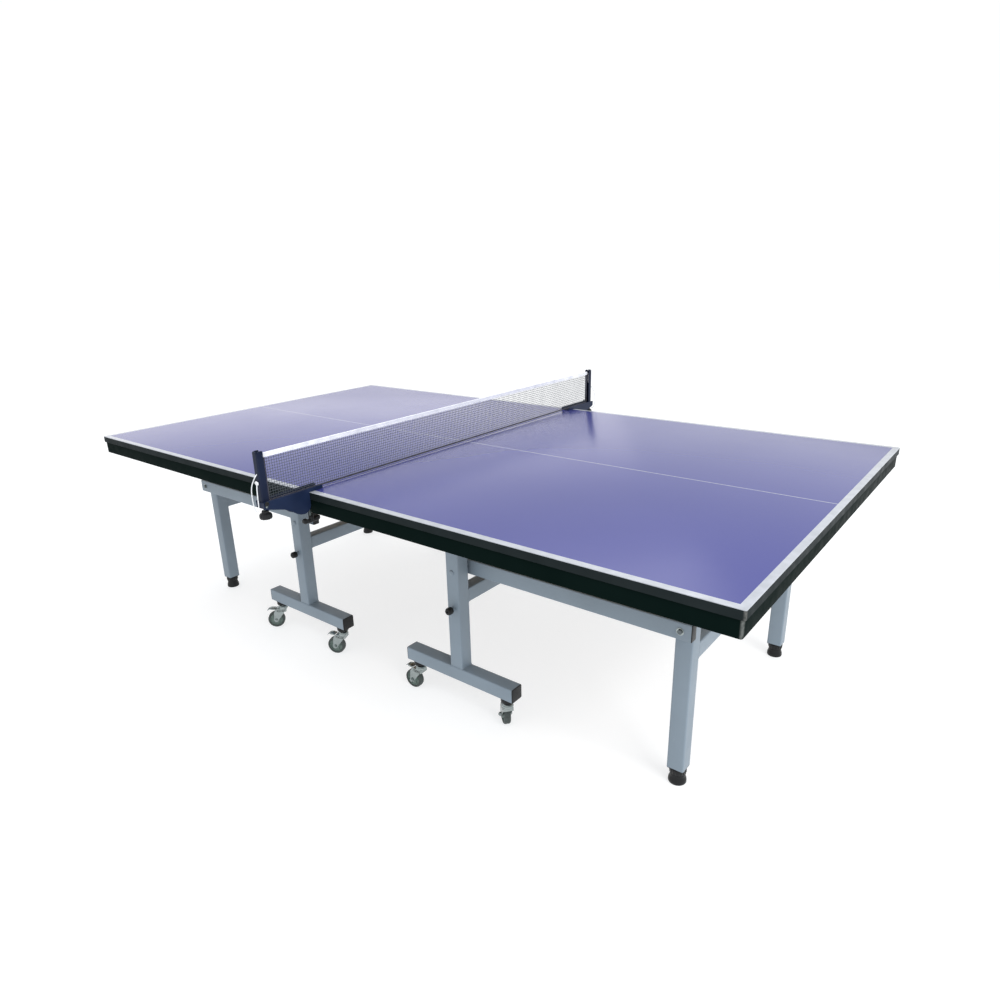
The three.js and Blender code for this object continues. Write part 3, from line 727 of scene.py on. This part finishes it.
def bolt_head(form, x, z, side, face, across=13.0, washer_finish=3):
    form.hexagon("y", (x, z), across, sorted((side * (face + 1.4), side * (face + 5.6))))
    form.rod("y", (x, z), across * 0.82, sorted((side * face, side * (face + 1.5))), 24, 0.3, washer_finish)


def link_rail(half, label, side, place):
    low, high = box_mm("link_rail_b_near")
    inner_x, outer_x = low.x, high.x
    depth, height = 28.0, high.z - low.z
    form, plugs, bolts = Form(), Form(), Form()
    outline = rectangle(depth, height, 4.0, 4, (side * RAIL_Y, RAIL_Z))
    form.pipe("x", outline, (inner_x, outer_x), TUBE_WALL)
    for x, outwards in ((inner_x, -1), (outer_x, 1)):
        end_plug(plugs, "x", outline, x, outwards, 2.6)
    outer_face = POST_Y + TUBE / 2
    rail_face = RAIL_Y + depth / 2
    post_face = POST_Y - TUBE / 2
    nut(bolts, BASE_X, RAIL_Z, side, RAIL_Y - depth / 2)
    dome = [(8.6, outer_face + 0.3), (8.6, outer_face + 1.2), (7.6, outer_face + 2.6), (5.2, outer_face + 3.9),
            (2.4, outer_face + 4.5)]
    bolts.turn("y", (BASE_X, RAIL_Z), [(r, side * w) for r, w in dome], 24, 2)
    bolts.rod("y", (BASE_X, RAIL_Z), 5.0, sorted((side * (RAIL_Y - 13), side * (outer_face + 2))), 14)
    bolts.rod("y", (BASE_X, RAIL_Z), 11.5, sorted((side * (rail_face + 0.1), side * (post_face - 0.3))), 20, 0.5, 1)
    bolt_head(bolts, LEG_X, RAIL_Z, side, rail_face + 0.1)
    nut(bolts, LEG_X, RAIL_Z, side, LEG_Y - TUBE / 2 - 0.4)
    bolts.rod("y", (LEG_X, RAIL_Z), 5.0, sorted((side * (LEG_Y - 24), side * (rail_face + 1))), 14)
    bolts.rod("y", (LEG_X, RAIL_Z), 7.0, sorted((side * (LEG_Y + TUBE / 2 + 0.2), side * (RAIL_Y - depth / 2 - 0.1))), 16, 0.2, 1)
    body = f"rail_{half}_{label}"
    form.piece(f"rail_tube_{half}_{label}", body, "grey_steel", [GREY], [f"link_rail_{half}_{label}"], place)
    plugs.piece(f"rail_plugs_{half}_{label}", body, "black_plastic", [PLASTIC], (), place)
    bolts.piece(f"rail_bolts_{half}_{label}", body, "bright_zinc",
                [DULL_STEEL, PLASTIC, GREY, ZINC], (), place)


def holed_plate(form, axis, outline_box, corner, hole_at, hole_radius, span, sides=40):
    """A rounded plate with one hole, drawn as rays from the hole to the plate's edge."""
    (u0, v0), (u1, v1) = outline_box
    edge = rectangle(u1 - u0, v1 - v0, corner, 6, (middle_of(u0, u1), middle_of(v0, v1)))
    outer, inner = [], []
    for step in range(sides):
        angle = 2 * math.pi * step / sides
        ray = Vector((math.cos(angle), math.sin(angle)))
        best = None
        for a, b in zip(edge, edge[1:] + edge[:1]):
            a, b = Vector(a) - Vector(hole_at), Vector(b) - Vector(hole_at)
            cross = ray.x * (b - a).y - ray.y * (b - a).x
            if abs(cross) < 1e-9:
                continue
            reach = (a.x * (b - a).y - a.y * (b - a).x) / cross
            along = (a.x * ray.y - a.y * ray.x) / cross
            if reach > 0 and -1e-6 <= along <= 1 + 1e-6:
                best = reach if best is None else max(best, reach)
        outer.append((hole_at[0] + ray.x * best, hole_at[1] + ray.y * best))
        inner.append((hole_at[0] + ray.x * hole_radius, hole_at[1] + ray.y * hole_radius))
    rings = [(outer, span[0]), (outer, span[1]), (inner, span[1]), (inner, span[0])]
    form.loft([[lift(axis, u, v, w) for u, v in ring] for ring, w in rings], closed=True)


HINGE_BAR_TOP = box_mm("outer_hinge_bar_b")[1].z
HINGE_BAR_Z = (HINGE_BAR_TOP - 3.3, HINGE_BAR_TOP)


def ears(form, bolts, x, side, faces):
    """Two ears round a tube with the pivot bolt through them."""
    for face in faces:
        span = span_of(side, face, face + 4)
        holed_plate(form, "y", ((x - 15, TOP_PIVOT_Z - 13), (x + 15, HINGE_BAR_Z[1])), 9.0,
                    (x, TOP_PIVOT_Z), 5.2, span)
    inner, outer = faces[0], faces[1] + 4
    bolts.rod("y", (x, TOP_PIVOT_Z), 5.0, sorted((side * (inner - 3), side * (outer + 1))), 14)
    bolts.hexagon("y", (x, TOP_PIVOT_Z), 13.0, sorted((side * (outer + 0.1), side * (outer + 4.6))))
    bolts.hexagon("y", (x, TOP_PIVOT_Z), 13.0, sorted((side * (inner - 4.4), side * (inner - 0.1))))


def hinge_frames(half, place):
    """Bars, ears and storage-lock lugs bolted under the board."""
    low, high = box_mm("inner_hinge_frame_b")
    inner, outer, bolts = Form(), Form(), Form()
    for form, x, faces in ((inner, BASE_X, (489, 549)), (outer, LEG_X, (396, 452))):
        reach = faces[1] + 4
        form.prism("z", rectangle(40, 2 * reach, 3.0, 3, (x, 0)), HINGE_BAR_Z, 0.5)
        for side in (-1, 1):
            ears(form, bolts, x, side, faces)
    lug_x = BASE_X - (TOP_PIVOT_Z - LOCK_Z)
    for side in (-1, 1):
        u0, u1 = span_of(side, 470, 493)
        strap = [(low.x, u0), (BASE_X, u0), (BASE_X, u1), (low.x, u1)]
        inner.prism("z", filleted(strap, 2.0), HINGE_BAR_Z, 0.4)
        holed_plate(inner, "y", ((low.x, low.z), (lug_x + 6.5, HINGE_BAR_Z[1])), 5.0,
                    (lug_x, TOP_PIVOT_Z), 5.6, span_of(side, 489, 493), 48)
        for x in (low.x + 70, BASE_X - 60):
            bolts.turn("z", (x, side * 481.5), [(3.0, HINGE_BAR_Z[0] - 1.8), (4.6, HINGE_BAR_Z[0] - 0.9),
                                                (4.8, HINGE_BAR_Z[0] + 0.2)], 12)
    for x, reach in ((BASE_X, 553), (LEG_X, 456)):
        for step in range(5):
            y = (step - 2) * reach * 0.38
            bolts.turn("z", (x, y), [(3.0, HINGE_BAR_Z[0] - 1.8), (4.6, HINGE_BAR_Z[0] - 0.9),
                                     (4.8, HINGE_BAR_Z[0] + 0.2)], 12)
    inner.piece(f"inner_hinges_{half}", f"top_{half}", "black_steel", [BLACK_STEEL],
                [f"inner_hinge_frame_{half}"], place)
    outer.piece(f"outer_hinges_{half}", f"top_{half}", "black_steel", [BLACK_STEEL],
                [f"outer_hinge_bar_{half}"], place)
    bolts.piece(f"hinge_bolts_{half}", f"top_{half}", "bright_zinc", [DULL_STEEL], (), place)


def levelling_foot(half, label, side, place):
    """A rubber pad with a fluted hand grip, on a threaded stem."""
    middle = (LEG_X, side * LEG_Y)
    form = Form()
    form.turn("z", middle, [(22.4, 0), (25.0, 1.0), (26.0, 3.0), (26.0, 8.5), (25.5, 12.0), (24.5, 15.5),
                            (23.4, 18.5), (22.5, 21.5), (22.0, 25), (22.2, 29.5), (21.4, 31.5)], 40)
    form.turn("z", middle, [(21.0, 31.2), (23.0, 32.8), (24.0, 35.0), (24.0, 44.5), (23.2, 47.6), (20, 49.4)],
              72, 0, lobes=18, depth=0.03)
    threaded(form, "z", middle, 6.0, (48, 80), 1)
    form.piece(f"levelling_pad_{half}_{label}", f"level_foot_{half}_{label}", "black_plastic",
               [PLASTIC, ZINC], [f"levelling_foot_{half}_{label}"], place)


def lock_pin(half, label, side, place):
    """A spring pin with a fluted round knob that slides over its sleeve."""
    outer_face = POST_Y + TUBE / 2
    tip, knob = POST_Y - TUBE / 2 + 1, outer_face + LOCK_TRAVEL + 0.6
    middle = (BASE_X, LOCK_Z)
    form = Form()
    profile = [(3.2, tip), (4.5, tip + 2.0), (4.5, knob + 14)]
    form.turn("y", middle, [(r, side * w) for r, w in profile], 16, 1)
    profile = [(9.2, knob), (10.6, knob), (11.5, knob + 1.2), (12.0, knob + 3.5), (12.0, knob + 12.5),
               (11.4, knob + 16), (9.8, knob + 18.6), (6.8, knob + 19.7), (4.4, knob + 20),
               (3.4, knob + 19.2), (3.2, knob + 13.5), (9.2, knob + 13.0)]
    form.turn("y", middle, [(r, side * w) for r, w in profile], 48, 0, closed=True, lobes=8, depth=0.03)
    form.piece(f"lock_knob_{half}_{label}", f"lock_{half}_{label}", "black_plastic", [PLASTIC, ZINC],
               [f"lock_pin_{half}_{label}"], place)


for half, place in HALVES.items():
    board(half, place)
    apron(half, place)
    apron_details(half, place)
    base_frame(half, place)
    end_legs(half, place)
    hinge_frames(half, place)
    for label, direction in SIDES.items():
        side = direction * (-1 if half == "a" else 1)
        link_rail(half, label, side, place)
        levelling_foot(half, label, side, place)
        lock_pin(half, label, side, place)

# ---- casters ----

TRAIL = (joint_mm("roll_b_near_1").xy - joint_mm("swivel_b_near_1").xy).length
AXLE_Z = WHEEL_RADIUS = joint_mm("roll_b_near_1").z


def caster_fork(tag, place):
    """A pressed fork under its ball race, with the axle bolt and a black collar at the tube."""
    form, collar = Form(), Form()
    x = -TRAIL
    arm = [(x - 9, AXLE_Z - 1), (x - 6, AXLE_Z - 8), (x + 6, AXLE_Z - 8), (x + 9, AXLE_Z - 1),
           (3, 66), (13, 83), (-28, 83), (-38, 68)]
    outline = filleted(arm, [4, 6, 6, 4, 14, 2, 2, 9])
    for span in ((14, 16.4), (-16.4, -14)):
        form.prism("y", outline, span, 0.5)
    form.prism("x", filleted([(-16.4, 70), (16.4, 70), (16.4, 83), (-16.4, 83)], [0, 0, 3, 3]), (-27, 12.5), 0.6)
    form.turn("z", (0, 0), [(14, 82), (17.5, 82.4), (19.0, 84.0), (19.2, 88.0), (18.2, 90.2), (16.8, 90.9),
                            (18.0, 91.6), (18.2, 93.2), (16.0, 95.6), (13.2, 97.4), (12.6, 104)], 28)
    form.rod("y", (x, AXLE_Z), 4.0, (-17.2, 17.2), 12)
    form.hexagon("y", (x, AXLE_Z), 12.0, (16.5, 21.0))
    form.hexagon("y", (x, AXLE_Z), 12.0, (-21.5, -16.5))
    threaded(form, "y", (x, AXLE_Z), 3.8, (-24.0, -21.0), pitch=1.2)
    collar.turn("z", (0, 0), [(13, 100.0), (18.4, 100.6), (21.4, 102.6), (22.0, 105.0), (22.0, 112.0),
                              (23.0, 113.4), (23.0, 116.6), (22.2, 117.6), (10, 117.7)], 36)
    form.piece(f"fork_steel_{tag}", f"fork_{tag}", "bright_zinc", [ZINC], [f"caster_{tag}_fork"], place)
    collar.piece(f"fork_collar_{tag}", f"fork_{tag}", "black_plastic", [PLASTIC], (), place)


def caster_wheel(tag, place):
    """A grey-green hub with spokes inside a dark rubber tread."""
    form = Form()
    middle = (-TRAIL, AXLE_Z)
    rim = WHEEL_RADIUS
    tread = [(rim - 8.4, 8.6), (rim - 7.4, 10.4), (rim - 5.5, 11.2), (rim - 2.8, 10.6), (rim - 0.8, 8.8),
             (rim, 6.0), (rim, 2.0), (rim - 0.5, 1.6), (rim - 0.5, 0.8)]
    tread += [(r, -y) for r, y in reversed(tread)]
    form.turn("y", middle, tread, 40, 0, closed=True)
    hub = [(4.6, 12.4), (11.5, 12.4), (13.2, 11.6), (14.0, 9.5), (15.2, 5.2), (rim - 10.4, 5.0),
           (rim - 9.4, 8.0), (rim - 8.0, 8.6)]
    hub += [(r, -y) for r, y in reversed(hub)]
    form.turn("y", middle, hub, 36, 1, closed=True)
    for step in range(6):
        angle = math.pi / 3 * step
        turn = Matrix.Translation((middle[0], 0, middle[1])) @ Matrix.Rotation(angle, 4, "Y")
        spoke = Form()
        spoke.prism("x", rectangle(15.6, 3.2, 1.0, 2), (12.0, rim - 8.8), 0.4, finish=1)
        spoke.shift(turn)
        form.loft([spoke.points[i:i + 12] for i in range(0, len(spoke.points), 12)], 1)
    form.piece(f"wheel_{tag}_tyre", f"wheel_{tag}", "grey_tyre", [TYRE, HUB], [f"caster_{tag}_wheel"], place)


def caster_brake(tag, place):
    """A bent pedal with pressed ribs over the wheel."""
    form = Form()
    curve = [(-30.5, 82.2), (-36, 84.0), (-43, 85.6), (-50, 85.6), (-57, 83.0), (-62, 79.8), (-65.0, 77.2)]
    widths = [8.0, 9.5, 10.6, 11.0, 11.0, 10.2, 7.5]
    rings = []
    for (x, z), half in zip(curve, widths):
        rings.append([(x, u, z + v) for u, v in rectangle(2 * half, 2.4, 1.0, 2)])
    form.loft(rings)
    for x, z in ((-46, 86.6), (-51, 86.3), (-56, 84.4)):
        form.sweep([(x, -8, z), (x, 8, z)], 1.1, 8)
    for side in (-1, 1):
        form.prism("y", filleted([(-34, 78.5), (-29.5, 80), (-31, 84), (-44, 86.2), (-52, 85), (-50, 82.0)], 1.2),
                   span_of(side, 10.2, 12.0), 0.3)
    form.piece(f"brake_pedal_{tag}", f"brake_{tag}", "bright_zinc", [ZINC], [f"caster_{tag}_brake"], place)


for half in HALVES:
    for label in SIDES:
        for number in (1, 2):
            tag = f"{half}_{label}_{number}"
            stem, axle = joint_mm(f"swivel_{tag}"), joint_mm(f"roll_{tag}")
            heading = math.atan2(axle.y - stem.y, axle.x - stem.x) - math.pi
            place = Matrix.Translation((stem.x * MM, stem.y * MM, 0)) @ Matrix.Rotation(heading, 4, "Z")
            caster_fork(tag, place)
            caster_wheel(tag, place)
            caster_brake(tag, place)

# ---- net set ----

NET_LOW, TAPE_HIGH = box_mm("net_mesh")[0], box_mm("net_tape")[1]
NET_HALF = TAPE_HIGH.y
TAPE_DEPTH = TAPE_HIGH.z - box_mm("net_tape")[0].z
TAPE_LOW = TAPE_HIGH.z - TAPE_DEPTH
THREAD_RADIUS, PITCH = 0.75, 8.5


def netting():
    """Threads woven over and under each other in squares, held between tape and hems."""
    form = Form()
    bottom, top = NET_LOW.z + 3.0, TAPE_LOW + 3.0
    rows = round((top - bottom) / PITCH)
    columns = round(2 * (NET_HALF - 4) / PITCH)
    ys = [-NET_HALF + 4 + 2 * (NET_HALF - 4) * i / columns for i in range(columns + 1)]
    zs = [bottom + (top - bottom) * j / rows for j in range(rows + 1)]
    square = [(-THREAD_RADIUS, 0), (0, -THREAD_RADIUS), (THREAD_RADIUS, 0), (0, THREAD_RADIUS)]
    for i, y in enumerate(ys):
        rings = [[((0.5 if (i + j) % 2 else -0.5) + u, y + v, z) for u, v in square] for j, z in enumerate(zs)]
        form.loft(rings)
    for j, z in enumerate(zs):
        rings = [[((-0.5 if (i + j) % 2 else 0.5) + u, y, z + v) for u, v in square] for i, y in enumerate(ys)]
        form.loft(rings)
    net = form.piece("netting", "net_set", "net_thread", [THREAD], ["net_mesh"], sharp=80)
    thread_length = len(ys) * (top - bottom) + len(zs) * 2 * NET_HALF
    return net, thread_length * MM * math.pi * THREAD_RADIUS * MM, (top - bottom) * MM


def folded_tape():
    """White tape folded over the top cord and stitched along its lower edges."""
    form, stitches = Form(), Form()
    low, high = TAPE_LOW, TAPE_HIGH.z
    outside = [(-0.75, low), (-1.15, low + 0.8), (-0.95, low + 3.0), (-1.05, high - 6.0), (-1.5, high - 3.2),
               (-1.7, high - 1.9), (-1.3, high - 0.6), (-0.5, high - 0.05)]
    outline = outside + [(-u, v) for u, v in reversed(outside)]
    spots = 60
    rings = []
    for step in range(spots + 1):
        y = -NET_HALF + 2 * NET_HALF * step / spots
        ripple = 0.12 * math.sin(step * 1.9)
        rings.append([(u + ripple, y, z) for u, z in outline])
    form.loft(rings)
    count, spacing = 300, 2 * (NET_HALF - 6) / 300
    for step in range(count):
        y = -NET_HALF + 6 + spacing * step
        for face in (-1, 1):
            rings = [[(face * 1.15 + u, y + t, low + 2.4 + v) for u, v in circle(r, 4)]
                     for t, r in ((0, 0.15), (spacing * 0.2, 0.36), (spacing * 0.5, 0.36), (spacing * 0.7, 0.15))]
            stitches.loft(rings)
    tape = form.piece("net_top_tape", "net_set", "white_tape", [TAPE], ["net_tape"], sharp=60)
    thread = stitches.piece("net_top_stitches", "net_set", "white_tape", [CORD])
    return tape, thread


def hems():
    """Dark hem cord along the foot of the net and a narrow binding at each end."""
    form = Form()
    low = NET_LOW.z
    foot = [(0, -NET_HALF + 2 + 2 * (NET_HALF - 2) * i / 120, low + 3.0) for i in range(121)]
    outline = filleted([(-0.8, low + 0.2), (0.8, low + 0.2), (1.0, low + 6.2), (-1.0, low + 6.2)], 0.5, 2)
    form.loft([[(u, y, v) for u, v in outline] for _, y, _ in foot[::6]])
    for side in (-1, 1):
        edge = rectangle(2.2, 7.0, 0.9, 2, (0, side * (NET_HALF - 4)))
        form.prism("z", edge, (low + 0.4, TAPE_LOW + 0.8), 0.3)
    return form.piece("net_hems", "net_set", "net_thread", [HEM], sharp=60)


net_piece, thread_area, net_height = netting()
tape_piece, stitch_piece = folded_tape()
hem_piece = hems()

BRACKET_HALF, SHEET = 20.0, 2.5
POST_MIDDLE_Y = middle_of(box_mm("net_post_far")[0].y, box_mm("net_post_far")[1].y)
NET_POST_LOW, NET_POST_HIGH = box_mm("net_post_far")
CORD_HOLE_Z = 852.5


def bracket(label, place):
    """A pressed trough over the board's edge, with rolled rims, and the cord cleat on its cheek."""
    form, cleat = Form(), Form()
    cheek = [(712, 760.4), (712, 773), (926, 771.5), (926, 752), (922, 748), (860, 731), (838, 720),
             (818, 705), (804, 698.5), (788, 696), (775, 700), (767, 708), (763.6, 717), (763.6, 760.4)]
    outline = filleted(cheek, [2, 8, 3, 2, 4, 20, 20, 20, 14, 14, 10, 8, 6, 1.2])
    for span in ((BRACKET_HALF - SHEET, BRACKET_HALF), (-BRACKET_HALF, SHEET - BRACKET_HALF)):
        form.prism("x", outline, span, 0.5)
    tray = [(713, 760.4), (713, 762.9), (766.1, 762.9), (766.1, 752.5), (926, 752.5), (926, 750), (763.6, 750),
            (763.6, 760.4)]
    form.prism("x", filleted(tray, [0.6, 0.6, 3, 0.8, 0.6, 0.6, 3, 0.8]), (-18.5, 18.5), 0.3)
    form.prism("y", filleted([(-18.5, 750), (18.5, 750), (18.5, 768), (-18.5, 768)], 1.5), (923.8, 926), 0.4)
    for side in (-1, 1):
        rim = [(side * 18.9, 717 + step * 20.6, 771.6 - 0.0068 * step * 20.6) for step in range(11)]
        form.sweep(rim, 1.7, 8)
    cleat.turn("x", (919, 766), [(3.5, -20.2), (3.5, -23.0), (6.5, -23.6), (7.2, -25.2), (6.0, -27.0), (3.0, -27.6)], 20)
    cleat.turn("x", (919, 757), [(2.2, -20.0), (4.2, -20.4), (4.2, -22.4), (3.0, -23.2)], 6, 1)
    form.piece(f"bracket_{label}", "net_set", "navy_steel", [NAVY], [f"net_bracket_{label}"], place)
    cleat.piece(f"cord_cleat_{label}", "net_set", "black_plastic", [PLASTIC, ZINC], (), place)


def net_post(label, place):
    """A channel post, open towards the net, with its top notched between the web and the flanges."""
    low, high = NET_POST_LOW.z, NET_POST_HIGH.z
    wall, notch, notch_depth = 3.0, 2.8, 7.0
    reach = NET_POST_HIGH.x - wall / 2
    web, edge = POST_MIDDLE_Y + reach, POST_MIDDLE_Y - NET_POST_HIGH.x
    spine = [(-reach, edge + step) for step in (0.0, 0.6, 1.4, 2.6, 4.5, 7.0, 10.0, 13.0)]
    for step in range(9):
        angle = math.pi - math.pi / 2 * step / 8
        spine.append((2.5 - reach + 2.5 * math.cos(angle), web - 2.5 + 2.5 * math.sin(angle)))
    spine += [(u, web) for u in (-5.6, -4.2, -2.0)]
    spine += [(-u, v) for u, v in reversed(spine)]
    run = [0.0]
    for (a, b), (c, d) in zip(spine, spine[1:]):
        run.append(run[-1] + math.hypot(c - a, d - b))
    corners = (run[12], run[-1] - run[12])

    def crest(index):
        from_edge = min(run[index], run[-1] - run[index])
        from_corner = min(abs(run[index] - corner) for corner in corners)
        rounding = 0.5 * max(0.0, 2.4 - from_edge) ** 2
        return high - max(rounding, notch_depth * max(0.0, 1 - from_corner / notch))

    rings = []
    for index, (u, v) in enumerate(spine):
        ahead, behind = Vector(spine[min(index + 1, len(spine) - 1)]), Vector(spine[max(index - 1, 0)])
        along = (ahead - behind).normalized()
        out = Vector((-along.y, along.x)) * wall / 2
        top = crest(index)
        section = [(1, low), (1, top - 0.4), (0.7, top), (-0.7, top), (-1, top - 0.4), (-1, low)]
        rings.append([(u + out.x * share, v + out.y * share, z) for share, z in section])
    post = Form().loft(rings).piece(f"post_{label}", "net_set", "navy_steel", [CHARCOAL],
                                    [f"net_post_{label}"], place)
    hole = rectangle(6.0, 13.0, 2.6, 4, (0, CORD_HOLE_Z))
    carved(post, [Form().prism("y", hole, (web - wall, web + wall), 0).shift(place)])
    post.data.set_sharp_from_angle(angle=math.radians(32))
    foot = Form().prism("z", rectangle(30, 22.4, 3, 3, (0, POST_MIDDLE_Y)), (low, low + 5), 0.8)
    foot.piece(f"post_foot_{label}", "net_set", "navy_steel", [CHARCOAL], (), place)


def post_knob(label):
    """The fluted round knob under the bracket that sets the net's height."""
    low, high = box_mm(f"net_post_knob_{label}")
    middle = (0, middle_of(low.y, high.y))
    form = Form()
    form.turn("z", middle, [(13, low.z), (16.8, low.z + 1.2), (18.2, low.z + 4.5), (18.2, low.z + 12.5),
                            (16.8, low.z + 16), (13.0, low.z + 18.2), (10.5, low.z + 20), (9.8, low.z + 26)],
              72, 0, lobes=12, depth=0.04)
    threaded(form, "z", middle, 4.5, (low.z + 25.5, high.z), 1, 1.25)
    form.piece(f"height_knob_{label}", f"post_knob_{label}", "black_plastic", [PLASTIC, ZINC],
               [f"net_post_knob_{label}"])


def clamp_screw(label):
    """The wing screw that grips the board, with its swivel pad."""
    low, high = box_mm(f"net_clamp_screw_{label}")
    x, y = middle_of(low.x, high.x), middle_of(low.y, high.y)
    form = Form()
    wing = [(-32, low.z + 4), (-32, low.z + 16), (-20, low.z + 16), (-10, low.z + 11), (10, low.z + 11),
            (20, low.z + 16), (32, low.z + 16), (32, low.z + 4), (26, low.z), (-26, low.z)]
    outline = [(y + u, v) for u, v in filleted(wing, [4, 6, 6, 6, 6, 6, 6, 4, 3, 3])]
    form.prism("x", outline, (x - 6.5, x + 6.5), 2.2)
    form.turn("z", (x, y), [(7.0, low.z + 1), (8.6, low.z + 2.5), (8.6, low.z + 16), (7.6, low.z + 20), (6.0, low.z + 22)],
              24)
    threaded(form, "z", (x, y), 4.0, (low.z + 16, high.z - 3.2), 1, 1.25)
    form.turn("z", (x, y), [(5.0, high.z - 5.0), (8.4, high.z - 4.0), (9.0, high.z - 2.8), (9.0, high.z - 0.8),
                            (8.4, high.z)], 24)
    form.piece(f"wing_screw_{label}", f"clamp_screw_{label}", "black_plastic", [PLASTIC, ZINC],
               [f"net_clamp_screw_{label}"])


for label, side in SIDES.items():
    place = Matrix.Identity(4) if side > 0 else Matrix.Rotation(math.pi, 4, "Z")
    # The two brackets are the same part; the far one stands turned by half a turn.
    bracket(label, place)
    net_post(label, place)
    post_knob(label)
    clamp_screw(label)

# ---- studio ----

scene = bpy.context.scene
scene.view_settings.view_transform = "Standard"

world = bpy.data.worlds.new("studio")
world.use_nodes = True
world.node_tree.nodes["Background"].inputs["Color"].default_value = (0.985, 0.995, 1.0, 1)
world.node_tree.nodes["Background"].inputs["Strength"].default_value = 1.02
scene.world = world

floor_mesh = bpy.data.meshes.new("floor")
FLOOR_HALF = 30.0
floor_mesh.from_pydata([(-FLOOR_HALF, -FLOOR_HALF, 0), (FLOOR_HALF, -FLOOR_HALF, 0), (FLOOR_HALF, FLOOR_HALF, 0),
                        (-FLOOR_HALF, FLOOR_HALF, 0)], [], [(0, 1, 2, 3)])
pale_floor = coated("pale_floor", (0.42, 0.42, 0.42), 0.8, spread=0.01, mottle=2.0, grain=80.0, relief=0.02,
                    specular=0.1)
pale_floor.node_tree.nodes["Principled BSDF"].inputs["Emission Color"].default_value = (0.97, 0.985, 1, 1)
pale_floor.node_tree.nodes["Principled BSDF"].inputs["Emission Strength"].default_value = 0.68
floor_mesh.materials.append(pale_floor)
floor = bpy.data.objects.new("floor", floor_mesh)
scene.collection.objects.link(floor)


def softbox(name, at, aim, size, watts, colour=(1, 1, 1), glossy=True):
    lamp = bpy.data.lights.new(name, "AREA")
    lamp.shape, lamp.size, lamp.size_y = "RECTANGLE", size[0], size[1]
    lamp.energy, lamp.color = watts, colour
    light = bpy.data.objects.new(name, lamp)
    light.location = at
    light.rotation_euler = (Vector(aim) - Vector(at)).to_track_quat("-Z", "Y").to_euler()
    light.visible_camera, light.visible_glossy = False, glossy
    scene.collection.objects.link(light)


softbox("key", (4.5, -1.5, 3.2), (0.2, 0.0, 0.5), (2.5, 2.0), 130, glossy=False)
softbox("over", (-1.0, 1.0, 4.5), (0, 0, 0.7), (4.0, 3.0), 60)
softbox("back", (-7.2, 5.6, 2.2), (0, 0, 0.7), (9.0, 4.0), 36, (1.0, 0.93, 0.97))
